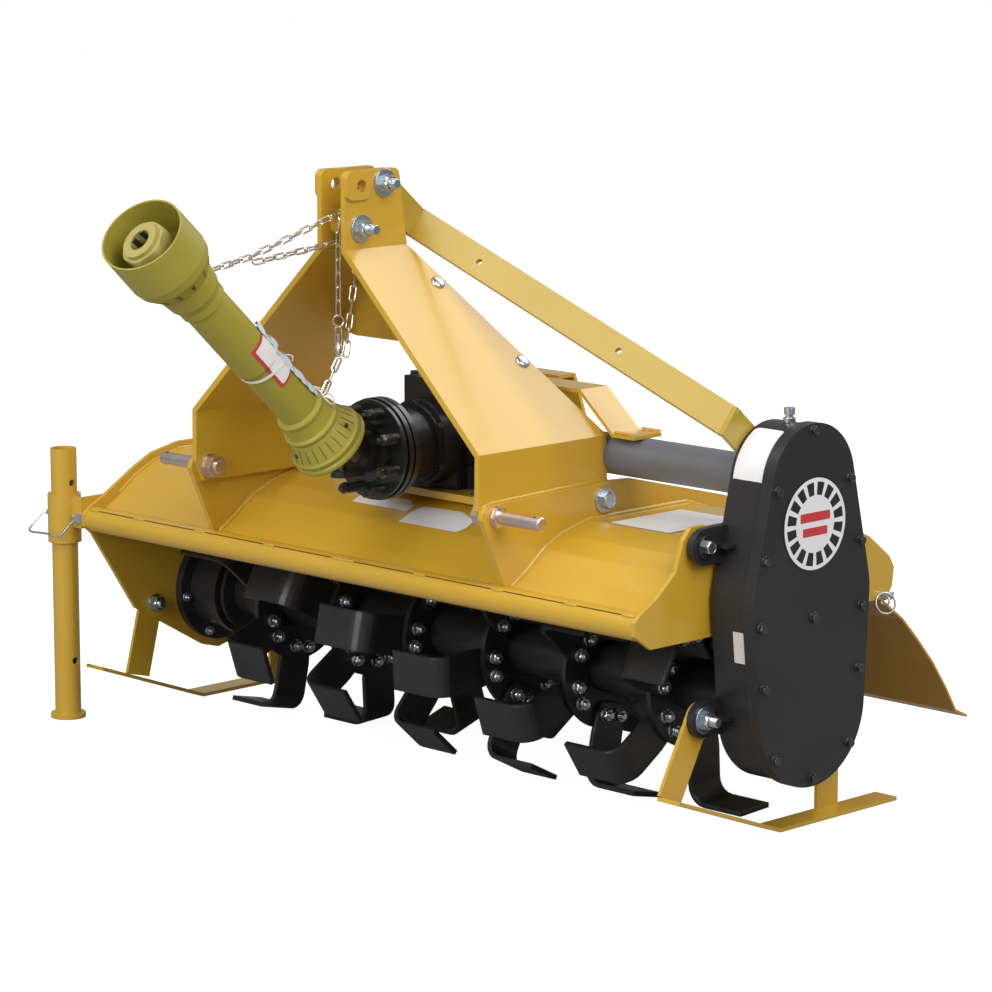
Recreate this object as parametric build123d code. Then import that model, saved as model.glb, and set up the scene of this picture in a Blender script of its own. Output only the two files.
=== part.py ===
"""Three-point-hitch rotary tiller, 1.28 m wide: frame, gear drive, rotor, rear board, driveline, parking stand.

Sizes are millimetres.  They are worked in the hitch frame (x to the right seen from the tractor, towards
the gear case; y rearward from the lower hitch pins; z up from the ground) and every part is moved once, at
export, so that the shared origin is the middle of the base of the whole machine's box.
"""
from build123d import *
import math
import os

# ---- where the shared origin lies in the hitch frame
ORIGIN_X = 0.0
ORIGIN_Y = 172.8

# ---- hitch
PLATE = 10.0                            # frame plate thickness
HITCH_HALF = 341.5                      # half the 683 mm between the shoulders for the lower links
PIN_Z = 480.0                           # lower hitch pins above the ground
PIN_R = 11.0                            # 22 mm pins
PIN_COLLAR = 9.0
PIN_FREE = 87.0                         # free length of a pin outside its collar
MAST_TOP, MAST_BEND_TOP, MAST_BEND_LOW, MAST_FOOT = 985.0, 863.0, 576.0, 456.0
TOP_PIN_Y, TOP_PIN_DROP = 8.0, 24.0     # top link hole: its place along y and below the mast's top
TOP_PIN_Z = MAST_TOP - TOP_PIN_DROP
TOP_HOLE_R = 9.8                        # 19.6 mm hole for a 19 mm pin
MAST_HALF = 32.0                        # half width over the upper mast plates
PAD, PAD_HEIGHT, PAD_REAR = 5.0, 45.0, 29.0   # doubler pads round the top link hole: thickness, height and rear edge
CORNER_R = 12.0                         # rounded corners of the upper mast plates
LOWER_HALF = HITCH_HALF - PLATE         # half width over the lower mast plates
BRACE_W, BRACE_T = 50.0, 8.0
BRACE_HOLE_R, BRACE_HOLES = 5.0, (0.216, 0.66)   # spare holes along the brace's sloping run

# ---- hood
HOOD_T = 4.0
HALF_W = 632.0                          # inner face of each end plate
END_T = 8.0
PIPE_Y, PIPE_Z, PIPE_R = 8.0, 350.0, 21.0
DECK_Z = 450.0
HOOD_LINE = [(20, 361), (62, 388), (100, 417), (140, 435), (198, DECK_Z), (425, DECK_Z), (519, 420), (556, 390),
             (568, 345)]
BOLT_R = 8.5                            # clearance holes for 16 mm bolts

# ---- skids
SKID_T = 6.0
SKID_W = 44.0
SKID_IN = HALF_W + END_T
SKID_BEND_RIGHT, SKID_BEND_LEFT = 270.0, 254.0
SKID_RISE = 20.0                        # degrees the front run climbs

# ---- gear drive
SHAFT_Y, SHAFT_Z = 277.0, 543.0         # drive tube and gearbox
TUBE_R, TUBE_GAP = 32.0, 0.3            # cross tube, and its room in the mast plate's notch
ROTOR_Y, ROTOR_Z = 281.0, 200.0
CASE_IN = SKID_IN + SKID_T              # the casing's lugs clamp the skid uprights
CASE_DEPTH = 76.0
COVER_T = 12.0
CASE_OUT = CASE_IN + CASE_DEPTH         # joint face between casing and cover
COVER_OUT = CASE_OUT + COVER_T
CASE_ROUNDS = [(SHAFT_Y, SHAFT_Z, 90.0), (SHAFT_Y, 368.0, 130.0), (ROTOR_Y, ROTOR_Z, 117.0)]
COVER_LIP = 4.0
CASE_LUGS = [(123.0, 459.0), (123.0, 196.0), (435.0, 459.0), (424.0, 196.0)]
LUG_R, LUG_T = 28.0, 10.0
BOX_TOP = 637.0                         # top of the bevel gearbox
BASE_T = 12.0
GEARBOX_RIGHT = 118.0

# ---- rotor
ROTOR_TUBE_R = 42.0
FLANGE_R, FLANGE_T = 100.0, 8.0
FLANGES, FLANGE_GAP = 6, 181.0
LAST_FLANGE = HALF_W - 143.0
TINES_PER_FLANGE = 6
FIRST_TINE, TINE_SPIRAL = 15.0, 15.0    # degrees: a left tine of the last flange from upright, and the step between flanges
TINE_T, TINE_W, TINE_ROOT_W = 8.0, 66.0, 56.0
TINE_REACH, TINE_BEND_R = 108.0, 32.0   # sideways reach beyond the flange, and the bend
TINE_PIVOT, TINE_LEAN = 64.0, 12.0      # the blade leans back about this radius
TINE_ROOT, TINE_TIP = -6.0, 128.0       # along the blade from there; its corner sweeps a 197 mm radius
SHAFT_R = 20.0
RUN = 0.05                              # running clearance

# ---- rear board
HINGE_Y, HINGE_Z = 560.0, 322.0
HINGE_R, BARREL_R = 6.0, 11.0
BOARD_T = 4.0
BOARD_LINE = [(573, 312), (627, 273), (667, 233), (706, 190), (741, 143), (768, 101), (798, 87)]

# ---- driveline
INPUT_Z = 537.0                         # input shaft of the gearbox, and the clutch on it
JOINT_Y, JOINT_Z = -8.0, INPUT_Z        # centre of the implement end's universal joint
DRIVE_TILT = 43.5                       # degrees the parked driveline rises forward
EAR_IN, EAR_OUT, EAR_R = 24.0, 36.0, 15.0
TRUNNION_R = 9.0
CLUTCH_R = 82.0
CLUTCH_BOLTS, CLUTCH_BOLT_RING = 8, 66.0
FAR_JOINT = 470.0                       # tractor end joint, along the driveline
YOKE_FACE = 547.0
YOKE_BORE_R = 17.45
GUARD_R, GUARD_T = 33.0, 3.0
MOUTH_MID, MOUTH_SLANT = 549.0, 9.0     # tractor bell's mouth: distance on the axis, slant in degrees
YOKE_DROP = 6.0                         # degrees the loose tractor yoke droops in its joint

# ---- parking stand
STAND_GAP = 50.0                        # leg axis outboard of the left end plate
STAND_X, STAND_Y = -(HALF_W + END_T + STAND_GAP), -10.0
STAND_R, STAND_WALL = 22.2, 3.5
SLEEVE_R = 28.5
SLEEVE_LOW, SLEEVE_HIGH = 307.0, 390.0
LOCK_Z, LOCK_R = 352.0, 5.2
BRACKET_T, BRACKET_LOW, BRACKET_HIGH = 8.0, 335.0, 388.0   # angle bracket between the sleeve and the end plate
BRACKET_REAR = 60.0
STAND_TOP, FOOT_T, FOOT_R = 468.0, 8.0, 30.0

# ---- guard chains
LINK_PITCH, LINK_W, LINK_WIRE = 22.0, 12.0, 3.5

FAR = 2 * (HALF_W + END_T)              # longer than anything it cuts


def poly_yz(points, x0, x1):
    """Solid between x0 and x1 whose outline in the y-z plane is the closed polygon."""
    face = make_face(Polyline(*[(x0, y, z) for y, z in points], close=True))
    return extrude(face, amount=x1 - x0, dir=(1, 0, 0))


def poly_xz(points, y0, y1):
    """Solid between y0 and y1 whose outline in the x-z plane is the closed polygon."""
    face = make_face(Polyline(*[(x, y0, z) for x, z in points], close=True))
    return extrude(face, amount=y1 - y0, dir=(0, 1, 0))


def box(x0, x1, y0, y1, z0, z1):
    """Box from its six faces."""
    return Pos((x0 + x1) / 2, (y0 + y1) / 2, (z0 + z1) / 2) * Box(x1 - x0, y1 - y0, z1 - z0)


def rod_x(y, z, r, x0, x1):
    """Cylinder along x."""
    return Pos((x0 + x1) / 2, y, z) * Rot(0, 90, 0) * Cylinder(r, abs(x1 - x0))


def rod_y(x, z, r, y0, y1):
    """Cylinder along y."""
    return Pos(x, (y0 + y1) / 2, z) * Rot(90, 0, 0) * Cylinder(r, abs(y1 - y0))


def rod_z(x, y, r, z0, z1):
    """Cylinder along z."""
    return Pos(x, y, (z0 + z1) / 2) * Cylinder(r, abs(z1 - z0))


def hex_x(y, z, half, x0, x1):
    """Hexagonal prism along x, half its width over the flats."""
    return extrude(Plane.YZ.offset(x0) * Pos(y, z) * RegularPolygon(half, 6, major_radius=False), amount=x1 - x0)


def strip(points, t):
    """Closed outline of a bent sheet: the polyline itself and its mitred offset by t to its right."""
    n = len(points)
    dirs = []
    for a, b in zip(points, points[1:]):
        length = math.hypot(b[0] - a[0], b[1] - a[1])
        dirs.append(((b[0] - a[0]) / length, (b[1] - a[1]) / length))
    inner = []
    for i, (u, v) in enumerate(points):
        first = dirs[max(i - 1, 0)]
        second = dirs[min(i, n - 2)]
        nx, ny = first[1] + second[1], -(first[0] + second[0])
        scale = t / (nx * second[1] - ny * second[0])
        inner.append((u + nx * scale, v + ny * scale))
    return list(points) + inner[::-1]


def bar(a, b, across, w, t):
    """Flat bar from a to b, w wide along the direction across (made square to the bar) and t thick."""
    a, b, across = Vector(*a), Vector(*b), Vector(*across)
    along = (b - a).normalized()
    plane = Plane(origin=a, x_dir=along.cross(across).normalized(), z_dir=along)
    return extrude(plane * Rectangle(t, w), amount=(b - a).length)


def hull_plate(rounds, grow, x0, x1):
    """Plate between x0 and x1 whose outline wraps circles given as (y, z, r), each grown by the same margin."""
    rings = []
    for y, z, r in rounds:
        rings += (Pos(y, z) * Circle(r + grow)).edges()
    return extrude(Plane.YZ.offset(x0) * make_hull(rings), amount=x1 - x0)


def union(pieces):
    """Sum of a list of solids."""
    body = pieces[0]
    for piece in pieces[1:]:
        body = body + piece
    return body


def less(body, tools):
    """Solid less every tool in a list."""
    for tool in tools:
        body = body - tool
    return body


parts = {}

# ================================================================ hood, pipe and end plates
pipe_cut = rod_x(PIPE_Y, PIPE_Z, PIPE_R, -FAR, FAR)
hinge_cut = rod_x(HINGE_Y, HINGE_Z, HINGE_R, -FAR, FAR)
hood = poly_yz(strip(HOOD_LINE, HOOD_T), -HALF_W, HALF_W) - pipe_cut
LUG_HALF = 20.0
HOOD_LUGS = [-450.0, -150.0, 150.0, 450.0]
for x in HOOD_LUGS:
    hood += (poly_yz([(564, 346), (549, 322), (571, 322), (568, 346)], x - LUG_HALF, x + LUG_HALF)
             + rod_x(HINGE_Y, HINGE_Z, BARREL_R, x - LUG_HALF, x + LUG_HALF))
parts["hood"] = hood - hinge_cut
parts["front_pipe"] = rod_x(PIPE_Y, PIPE_Z, PIPE_R, -HALF_W, HALF_W) - rod_x(PIPE_Y, PIPE_Z, PIPE_R - 4, -FAR, FAR)

END_FRONT = [(-13, 340), (-13, 360), (0, 372), (33, 389)]
END_LEFT_TOP = [(100, 430), (138, 449)]
END_RIGHT_TOP = [(76, 424), (92, 470), (108, 488), (140, 488), (170, 470)]
END_REAR = [(198, 462), (428, 462), (524, 420), (573, 383), (585, 364), (581, 334), (566, 312)]
END_LEFT_LOW = [(540, 296), (478, 196), (450, 150), (415, 146), (318, 96), (282, 87), (248, 96), (151, 152), (96, 183),
                (4, 325)]
END_RIGHT_LOW = [(548, 316), (22, 316)]
LEFT_SKID_BOLTS = [(138.0, 187.0), (436.0, 180.0)]
left_bolt_cuts = [rod_x(y, z, BOLT_R, -SKID_IN - 40, -HALF_W + 40) for y, z in LEFT_SKID_BOLTS]
right_bolt_cuts = [rod_x(y, z, BOLT_R, HALF_W - 40, CASE_IN + 2 * LUG_T) for y, z in CASE_LUGS]
end_left = poly_yz(END_FRONT + END_LEFT_TOP + END_REAR + END_LEFT_LOW, -SKID_IN, -HALF_W)
end_right = poly_yz(END_FRONT + END_RIGHT_TOP + END_REAR + END_RIGHT_LOW, HALF_W, SKID_IN)
parts["end_plate_left"] = less(end_left, left_bolt_cuts + [hinge_cut])
parts["end_plate_right"] = less(end_right, right_bolt_cuts + [hinge_cut])
parts["hinge_rod"] = rod_x(HINGE_Y, HINGE_Z, HINGE_R, -SKID_IN - 16, SKID_IN + 16)

# ================================================================ mast and hitch
top_hole = rod_x(TOP_PIN_Y, TOP_PIN_Z, TOP_HOLE_R, -2 * MAST_HALF, 2 * MAST_HALF)
pin_hole = rod_x(0, PIN_Z, PIN_R, -FAR, FAR)
BRACE_BOLT = (60.0, TOP_PIN_Z + 2)
brace_hole = rod_x(BRACE_BOLT[0], BRACE_BOLT[1], 8.2, -2 * MAST_HALF, 2 * MAST_HALF)
mast_band = strip([(MAST_HALF, MAST_TOP), (MAST_HALF, MAST_BEND_TOP), (LOWER_HALF, MAST_BEND_LOW),
                   (LOWER_HALF, MAST_FOOT)], PLATE)
MAST_FRONT = -23.0                      # front edge of the upper mast plates
mast_side = [(MAST_FRONT, MAST_TOP), (92, MAST_TOP), (109, MAST_BEND_TOP), (253, MAST_BEND_LOW), (253, MAST_FOOT),
             (-12, MAST_FOOT), (-29, 491), (-28, 568), (MAST_FRONT, MAST_BEND_TOP)]
mast_right = poly_xz(mast_band, -60, 280) & poly_yz(mast_side, 0, HITCH_HALF)
mast_right = fillet(mast_right.edges().filter_by(Axis.X).group_by(Axis.Z)[-1], CORNER_R)
tube_notch = rod_x(SHAFT_Y, SHAFT_Z, TUBE_R + TUBE_GAP, 0, FAR)
mast_right = less(mast_right, [top_hole, pin_hole, brace_hole])
parts["mast_plate_right"] = mast_right - tube_notch
parts["mast_plate_left"] = mirror(mast_right, Plane.YZ)

pad = box(MAST_HALF, MAST_HALF + PAD, MAST_FRONT, PAD_REAR, MAST_TOP - PAD_HEIGHT, MAST_TOP)
pad = fillet(pad.edges().filter_by(Axis.X), CORNER_R) - top_hole
parts["mast_pads"] = Compound([pad, mirror(pad, Plane.YZ)])

rib_side = [(-32, 478), (-29, 488), (-22, 495), (-8, 498.5), (244, 505.5), (300, 503), (521, 449), (534, 440), (545, 400), (519, 420),
            (425, DECK_Z), (198, DECK_Z), (140, 435), (100, 417), (62, 388), (26, 364), (16, 369.5)]
rib_right = poly_yz(rib_side, LOWER_HALF, HITCH_HALF) - pin_hole - pipe_cut - parts["hood"]
parts["hitch_rib_right"] = rib_right
parts["hitch_rib_left"] = mirror(rib_right, Plane.YZ)

PIN_END = HITCH_HALF + PIN_COLLAR + PIN_FREE
pin_nut = LOWER_HALF - PLATE            # face of the mast plate that the nut draws against
pin = chamfer(rod_x(0, PIN_Z, PIN_R, pin_nut - 24, PIN_END).edges().filter_by(GeomType.CIRCLE), 2)
pin += rod_x(0, PIN_Z, 17, HITCH_HALF, HITCH_HALF + 4) + hex_x(0, PIN_Z, 14.5, HITCH_HALF, HITCH_HALF + PIN_COLLAR)
pin += rod_x(0, PIN_Z, 20, pin_nut - 3, pin_nut) + hex_x(0, PIN_Z, 16.5, pin_nut - 20, pin_nut)
pin -= rod_z(PIN_END - 13, 0, 5.5, PIN_Z - 20, PIN_Z + 20)
parts["hitch_pin_right"] = pin
parts["hitch_pin_left"] = mirror(pin, Plane.YZ)

SPACER_Y, SPACER_Z, SPACER_R = 10.0, MAST_BEND_TOP + 32, 15.0
parts["mast_spacer"] = (rod_x(SPACER_Y, SPACER_Z, SPACER_R, -MAST_HALF + PLATE, MAST_HALF - PLATE)
                        - rod_x(SPACER_Y, SPACER_Z, 8.5, -MAST_HALF, MAST_HALF))


def slope_x(z):
    """Inner half width between the sloping mast plates at height z."""
    share = (MAST_BEND_TOP - z) / (MAST_BEND_TOP - MAST_BEND_LOW)
    slope = math.atan2(MAST_BEND_TOP - MAST_BEND_LOW, LOWER_HALF - MAST_HALF)
    return MAST_HALF + share * (LOWER_HALF - MAST_HALF) - PLATE / math.sin(slope)


GUSSET_LOW, GUSSET_HIGH = 705.0, 846.0
between = poly_xz([(-slope_x(GUSSET_LOW), GUSSET_LOW), (-slope_x(GUSSET_HIGH), GUSSET_HIGH),
                   (slope_x(GUSSET_HIGH), GUSSET_HIGH), (slope_x(GUSSET_LOW), GUSSET_LOW)], 80, 220)
GUSSET_PLAN = [(-222, 176), (-96, 118), (96, 118), (222, 176)]
gusset = Pos(0, 0, GUSSET_LOW) * extrude(make_face(Polyline(*strip(GUSSET_PLAN, -8), close=True)), GUSSET_HIGH - GUSSET_LOW)
parts["mast_gusset"] = (gusset & between)

# long brace: flats parallel to the plates at both ends, sloping run between two slanted bends
flat_x = MAST_HALF - PLATE - BRACE_T / 2
case_x = CASE_IN - BRACE_T / 2
along_flat, across = (0, 0.76, -0.65), (0, 0.65, 0.76)
bend_high, bend_low = (140, MAST_BEND_TOP + 32), (SHAFT_Y - 85, SHAFT_Z + 93)
brace_top = bar((flat_x, 46, MAST_TOP - 10), (flat_x, bend_high[0] + 3, bend_high[1] - 3), across, BRACE_W, BRACE_T)
brace_top &= box(0, MAST_HALF, 0, 200, MAST_BEND_TOP - 63, MAST_TOP)
brace_run = bar((flat_x, *bend_high), (case_x, *bend_low), across, BRACE_W, BRACE_T)
brace_low = bar((case_x, bend_low[0] - 6, bend_low[1] + 5), (case_x, SHAFT_Y - 15, SHAFT_Z + 33), across, BRACE_W, BRACE_T)
brace = brace_top + brace_run + brace_low - brace_hole - parts["mast_plate_right"]
run_a, run_b = Vector(flat_x, *bend_high), Vector(case_x, *bend_low)
run_dir = (run_b - run_a).normalized()
for share in BRACE_HOLES:
    spot = Plane(origin=run_a + (run_b - run_a) * share, x_dir=run_dir, z_dir=Vector(*across).cross(run_dir))
    brace -= spot.location * Cylinder(BRACE_HOLE_R, 4 * BRACE_T)
parts["mast_brace"] = brace

# ================================================================ bevel gearbox, its stays and the drive tube
gearbox = box(-60, 60, 190, 365, DECK_Z + BASE_T, BOX_TOP)
gearbox += rod_y(0, INPUT_Z, 57, 104, 150) + rod_y(0, INPUT_Z, 64, 150, 160) + rod_y(0, INPUT_Z, 70, 160, 190)
gearbox += rod_x(SHAFT_Y, SHAFT_Z, 72, 58, GEARBOX_RIGHT) + rod_x(SHAFT_Y, SHAFT_Z, 56, GEARBOX_RIGHT, GEARBOX_RIGHT + 14)
gearbox += rod_x(SHAFT_Y, SHAFT_Z, 52, -78, -58) + box(-60, GEARBOX_RIGHT, 215, 340, DECK_Z + BASE_T, DECK_Z + 50)
parts["gearbox"] = gearbox
parts["drive_tube"] = rod_x(SHAFT_Y, SHAFT_Z, TUBE_R, GEARBOX_RIGHT + 14, CASE_IN)

STAY_Y, STAY_T = 365.0, 6.0
STRAP_FRONT, STRAP_REAR = 246.0, 308.0
parts["gearbox_base"] = box(-95, 140, 165, STAY_Y, DECK_Z, DECK_Z + BASE_T)
stay_top = BOX_TOP + STAY_T
parts["gearbox_stay"] = (poly_xz([(-150, stay_top), (150, stay_top), (222, DECK_Z), (-222, DECK_Z)], STAY_Y, STAY_Y + STAY_T)
                         + box(-150, 150, STAY_Y - 34, STAY_Y, BOX_TOP, stay_top))
tube_top = SHAFT_Z + TUBE_R
STRAP = [(-50, stay_top), (280, stay_top), (350, tube_top + STAY_T), (396, tube_top + STAY_T)]
parts["tube_strap"] = poly_xz(strip(STRAP, STAY_T), STRAP_FRONT, STRAP_REAR)

# ================================================================ side gear case
lugs = []
for y, z in CASE_LUGS:
    toward = 1 if y < SHAFT_Y else -1
    y_mid = y + toward * 70
    lug = rod_x(y, z, LUG_R, CASE_IN, CASE_IN + LUG_T)
    lug += box(CASE_IN, CASE_IN + LUG_T, min(y, y_mid), max(y, y_mid), z - LUG_R, z + LUG_R)
    y_rib = y + toward * 20
    lug += box(CASE_IN, CASE_IN + 34, min(y_rib, y_mid), max(y_rib, y_mid), z - 3, z + 3)
    lugs.append(lug)
casing = hull_plate(CASE_ROUNDS, 0, CASE_IN, CASE_OUT) + hull_plate(CASE_ROUNDS, COVER_LIP, CASE_OUT - 10, CASE_OUT)
parts["gear_casing"] = less(union([casing] + lugs), right_bolt_cuts)
parts["casing_cover"] = hull_plate(CASE_ROUNDS, COVER_LIP, CASE_OUT, COVER_OUT)
breather_x = (CASE_IN + CASE_OUT) / 2
case_top = SHAFT_Z + CASE_ROUNDS[0][2]
parts["breather"] = (rod_z(breather_x, SHAFT_Y, 6, case_top - 2, case_top + 20) + rod_z(breather_x, SHAFT_Y, 9.5, case_top, case_top + 7)
                     + rod_z(breather_x, SHAFT_Y, 8.5, case_top + 12, case_top + 22))
parts["breather"] -= parts["gear_casing"]
parts["case_spacer"] = box(SKID_IN, CASE_IN, 225, 335, 330, 455)

# ================================================================ skids


def skid(bend_y, front_run, rear_run):
    """Bent shoe of a right-hand skid with its corner on the ground at bend_y."""
    rise = math.radians(SKID_RISE)
    shoe = [(bend_y - front_run * math.cos(rise), SKID_T + front_run * math.sin(rise)),
            (bend_y, SKID_T), (bend_y + rear_run, SKID_T)]
    return poly_yz(strip(shoe, SKID_T), SKID_IN, SKID_IN + SKID_W)


def upright(y0, z0, y1, z1):
    """Upright flat bar of a right-hand skid, standing in the y-z plane from its foot to its bolt."""
    x_mid = SKID_IN + SKID_T / 2
    post = bar((x_mid, y0, z0), (x_mid, y1, z1), (0, z1 - z0, y0 - y1), 50, SKID_T)
    return post + rod_x(y1, z1, 25, SKID_IN, SKID_IN + SKID_T)


right = skid(SKID_BEND_RIGHT, 245, 278) + upright(60, 80, *CASE_LUGS[1]) + upright(CASE_LUGS[3][0], 3, *CASE_LUGS[3])
left = skid(SKID_BEND_LEFT, 240, 207) + upright(106, 62, *LEFT_SKID_BOLTS[0]) + upright(LEFT_SKID_BOLTS[1][0], 3, *LEFT_SKID_BOLTS[1])
parts["skid_right"] = less(right, right_bolt_cuts)
parts["skid_left"] = less(mirror(left, Plane.YZ), left_bolt_cuts)

# ================================================================ rotor
BEAR_IN = -HALF_W
DRUM_R, DISC_R = 72.0, 95.0
bearing = rod_x(ROTOR_Y, ROTOR_Z, DISC_R, BEAR_IN, BEAR_IN + 14) + rod_x(ROTOR_Y, ROTOR_Z, DRUM_R, BEAR_IN, BEAR_IN + 74)
bearing += rod_x(ROTOR_Y, ROTOR_Z, DRUM_R + 4, BEAR_IN + 66, BEAR_IN + 80)
parts["rotor_bearing"] = bearing - rod_x(ROTOR_Y, ROTOR_Z, SHAFT_R + RUN, BEAR_IN + 8, 0)
stub = rod_x(ROTOR_Y, ROTOR_Z, 60, HALF_W - 14, CASE_IN) + rod_x(ROTOR_Y, ROTOR_Z, 86, HALF_W + 2, CASE_IN)
parts["rotor_stub"] = stub - rod_x(ROTOR_Y, ROTOR_Z, SHAFT_R + RUN, 0, SKID_IN - 2)
rotor_left, rotor_right = BEAR_IN + 86, HALF_W - 20
rotor = rod_x(ROTOR_Y, ROTOR_Z, ROTOR_TUBE_R, rotor_left, rotor_right)
rotor += rod_x(ROTOR_Y, ROTOR_Z, 68, rotor_left, rotor_left + 8)
rotor += rod_x(ROTOR_Y, ROTOR_Z, SHAFT_R, BEAR_IN + 9, SKID_IN - 3)
flange_x = [LAST_FLANGE - FLANGE_GAP * n for n in range(FLANGES)]
for x in flange_x:
    rotor += rod_x(ROTOR_Y, ROTOR_Z, FLANGE_R, x - FLANGE_T / 2, x + FLANGE_T / 2)
parts["rotor_tube"] = rotor

# tine: a wide flat blade bolted to the flange, bent sideways in five steps and leaning back from the radius
bend_u = TINE_TIP - TINE_BEND_R
section = [(0.0, TINE_ROOT)]
for step in range(6):
    turn = math.radians(18 * step)
    section.append((TINE_BEND_R * (1 - math.cos(turn)), bend_u + TINE_BEND_R * math.sin(turn)))
section.append((TINE_REACH, TINE_TIP))
root, tip = TINE_ROOT_W / 2, TINE_W / 2
edges = [(-root + 6, TINE_ROOT), (root - 6, TINE_ROOT), (root, TINE_ROOT + 14), (tip, 44), (tip, TINE_TIP + 4), (-tip, TINE_TIP + 4),
         (-tip, 44), (-root, TINE_ROOT + 14)]
blade = poly_xz(strip(section, TINE_T), -TINE_W, TINE_W) & poly_yz(edges, -1, TINE_REACH + 1)
right_tine = Pos(0, 0, TINE_PIVOT) * Rot(-TINE_LEAN, 0, 0) * blade
left_tine = mirror(right_tine, Plane.YZ)
tines = []
for n, x in enumerate(flange_x):
    for k in range(TINES_PER_FLANGE):
        side = -1 if k % 2 == 0 else 1
        angle = 360.0 * k / TINES_PER_FLANGE + FIRST_TINE - TINE_SPIRAL * n
        tines.append(Pos(x + side * FLANGE_T / 2, ROTOR_Y, ROTOR_Z) * Rot(angle, 0, 0) * (right_tine if side > 0 else left_tine))
parts["rotor_tines"] = Compound(tines)

# ================================================================ rear board
BARRELS = [(-600, -480), (-420, -180), (-120, 120), (180, 420), (480, 600)]
board = poly_yz(strip(BOARD_LINE, BOARD_T), -HALF_W + 6, HALF_W - 6)
barrel_web = [(HINGE_Y - 3, HINGE_Z + BARREL_R - 1), (HINGE_Y - 7, HINGE_Z - 8), (571, 308), (577, 310), (574, 314)]
for x0, x1 in BARRELS:
    board += poly_yz(barrel_web, x0, x1) + rod_x(HINGE_Y, HINGE_Z, BARREL_R, x0, x1)
parts["rear_board"] = board - rod_x(HINGE_Y, HINGE_Z, HINGE_R + RUN, -FAR, FAR)

# ================================================================ clutch and the implement-end joint
discs = [(44, 58, 50), (58, 64, 80), (64, 68, 74), (68, 76, CLUTCH_R), (76, 80, 74), (80, 89, CLUTCH_R), (89, 104, 50)]
clutch = union([rod_y(0, INPUT_Z, r, y0, y1) for y0, y1, r in discs])
SPRING_FRONT, SPRING_BACK, SPRING_R = 28.0, 58.0, 8.0
for k in range(CLUTCH_BOLTS):
    a = 2 * math.pi * (k + 0.5) / CLUTCH_BOLTS
    x, z = CLUTCH_BOLT_RING * math.cos(a), INPUT_Z + CLUTCH_BOLT_RING * math.sin(a)
    clutch += rod_y(x, z, 4.5, SPRING_FRONT - 8, 60) + rod_y(x, z, SPRING_R, SPRING_FRONT, SPRING_BACK)
    clutch += rod_y(x, z, 7.5, SPRING_FRONT - 7, SPRING_FRONT) + rod_y(x, z, 7.5, 88, 96)
parts["slip_clutch"] = clutch

fork = rod_y(0, INPUT_Z, EAR_OUT, 28, 44)
for side in (-1, 1):
    z_mid = JOINT_Z + side * (EAR_IN + EAR_OUT) / 2
    fork += rod_z(0, JOINT_Y, EAR_R, z_mid - 6, z_mid + 6) + box(-EAR_R, EAR_R, JOINT_Y, 30, z_mid - 6, z_mid + 6)
parts["clutch_yoke"] = fork - rod_z(0, JOINT_Y, TRUNNION_R, JOINT_Z - 50, JOINT_Z + 50)
parts["joint_cross"] = (box(-14, 14, JOINT_Y - 14, JOINT_Y + 14, JOINT_Z - 14, JOINT_Z + 14)
                        + rod_x(JOINT_Y, JOINT_Z, TRUNNION_R, -EAR_OUT, EAR_OUT)
                        + rod_z(0, JOINT_Y, TRUNNION_R, JOINT_Z - EAR_OUT, JOINT_Z + EAR_OUT))

# ================================================================ driveline, built along -y then tilted about the joint
drive = Pos(0, JOINT_Y, JOINT_Z) * Rot(-DRIVE_TILT, 0, 0)


def rod_s(r, s0, s1):
    """Rod along the driveline between two distances from the joint."""
    return Pos(0, -(s0 + s1) / 2, 0) * Rot(90, 0, 0) * Cylinder(r, s1 - s0)


def turned(profile):
    """Solid of revolution round the driveline from a closed outline of (radius, distance) points."""
    face = make_face(Polyline(*[(r, -s, 0) for r, s in profile], close=True))
    return drive * revolve(face, axis=Axis.Y, revolution_arc=360)


def yoke(s_joint, s_base, ear_in, ear_out, ear_r, base_r, turn):
    """Forked yoke whose two ears hold a trunnion at s_joint and meet a round base at s_base."""
    lean = -1 if s_base < s_joint else 1
    body = rod_s(base_r, s_base, s_base + 12) if lean > 0 else rod_s(base_r, s_base - 12, s_base)
    for side in (-1, 1):
        x_mid = side * (ear_in + ear_out) / 2
        ear = Pos(x_mid, -s_joint, 0) * Rot(0, 90, 0) * Cylinder(ear_r, ear_out - ear_in)
        ear += Pos(x_mid, -(s_joint + s_base) / 2 - lean, 0) * Box(ear_out - ear_in, abs(s_base - s_joint) + 2, 2 * ear_r)
        body += ear
    return Rot(0, turn, 0) * body


near_yoke = yoke(0.0, 56.0, EAR_IN, EAR_OUT, EAR_R, EAR_OUT, 0) + rod_s(22, 64, 106)
parts["driveline_yoke"] = drive * (near_yoke - Rot(0, 90, 0) * Cylinder(TRUNNION_R + RUN, 4 * EAR_OUT))
parts["drive_shaft"] = drive * rod_s(16, 106, 420)
GUARD_IN = GUARD_R - GUARD_T
parts["guard_implement_half"] = turned([(64, 28), (65, 31), (64, 35), (61, 37), (61, 41), (63, 43), (63, 46), (60, 49), (46, 80), (48, 83),
                                        (48, 87), (43, 90), (39, 111), (41, 114), (41, 118), (GUARD_R, 121), (GUARD_R, 300),
                                        (GUARD_IN, 300), (GUARD_IN, 119), (22, 110), (22, 98), (35, 94), (42, 80), (56, 46), (59, 37),
                                        (60, 28)])
parts["guard_tractor_half"] = turned([(GUARD_R, 240), (GUARD_R + 3, 240), (GUARD_R + 3, 384), (39, 386), (39, 400), (44, 412), (48, 440),
                                      (64, 466), (67, 480), (66, 562), (63, 562), (64, 480), (61, 469), (45, 443),
                                      (41, 414), (16, 410), (16, 400), (GUARD_R, 396)])
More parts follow.
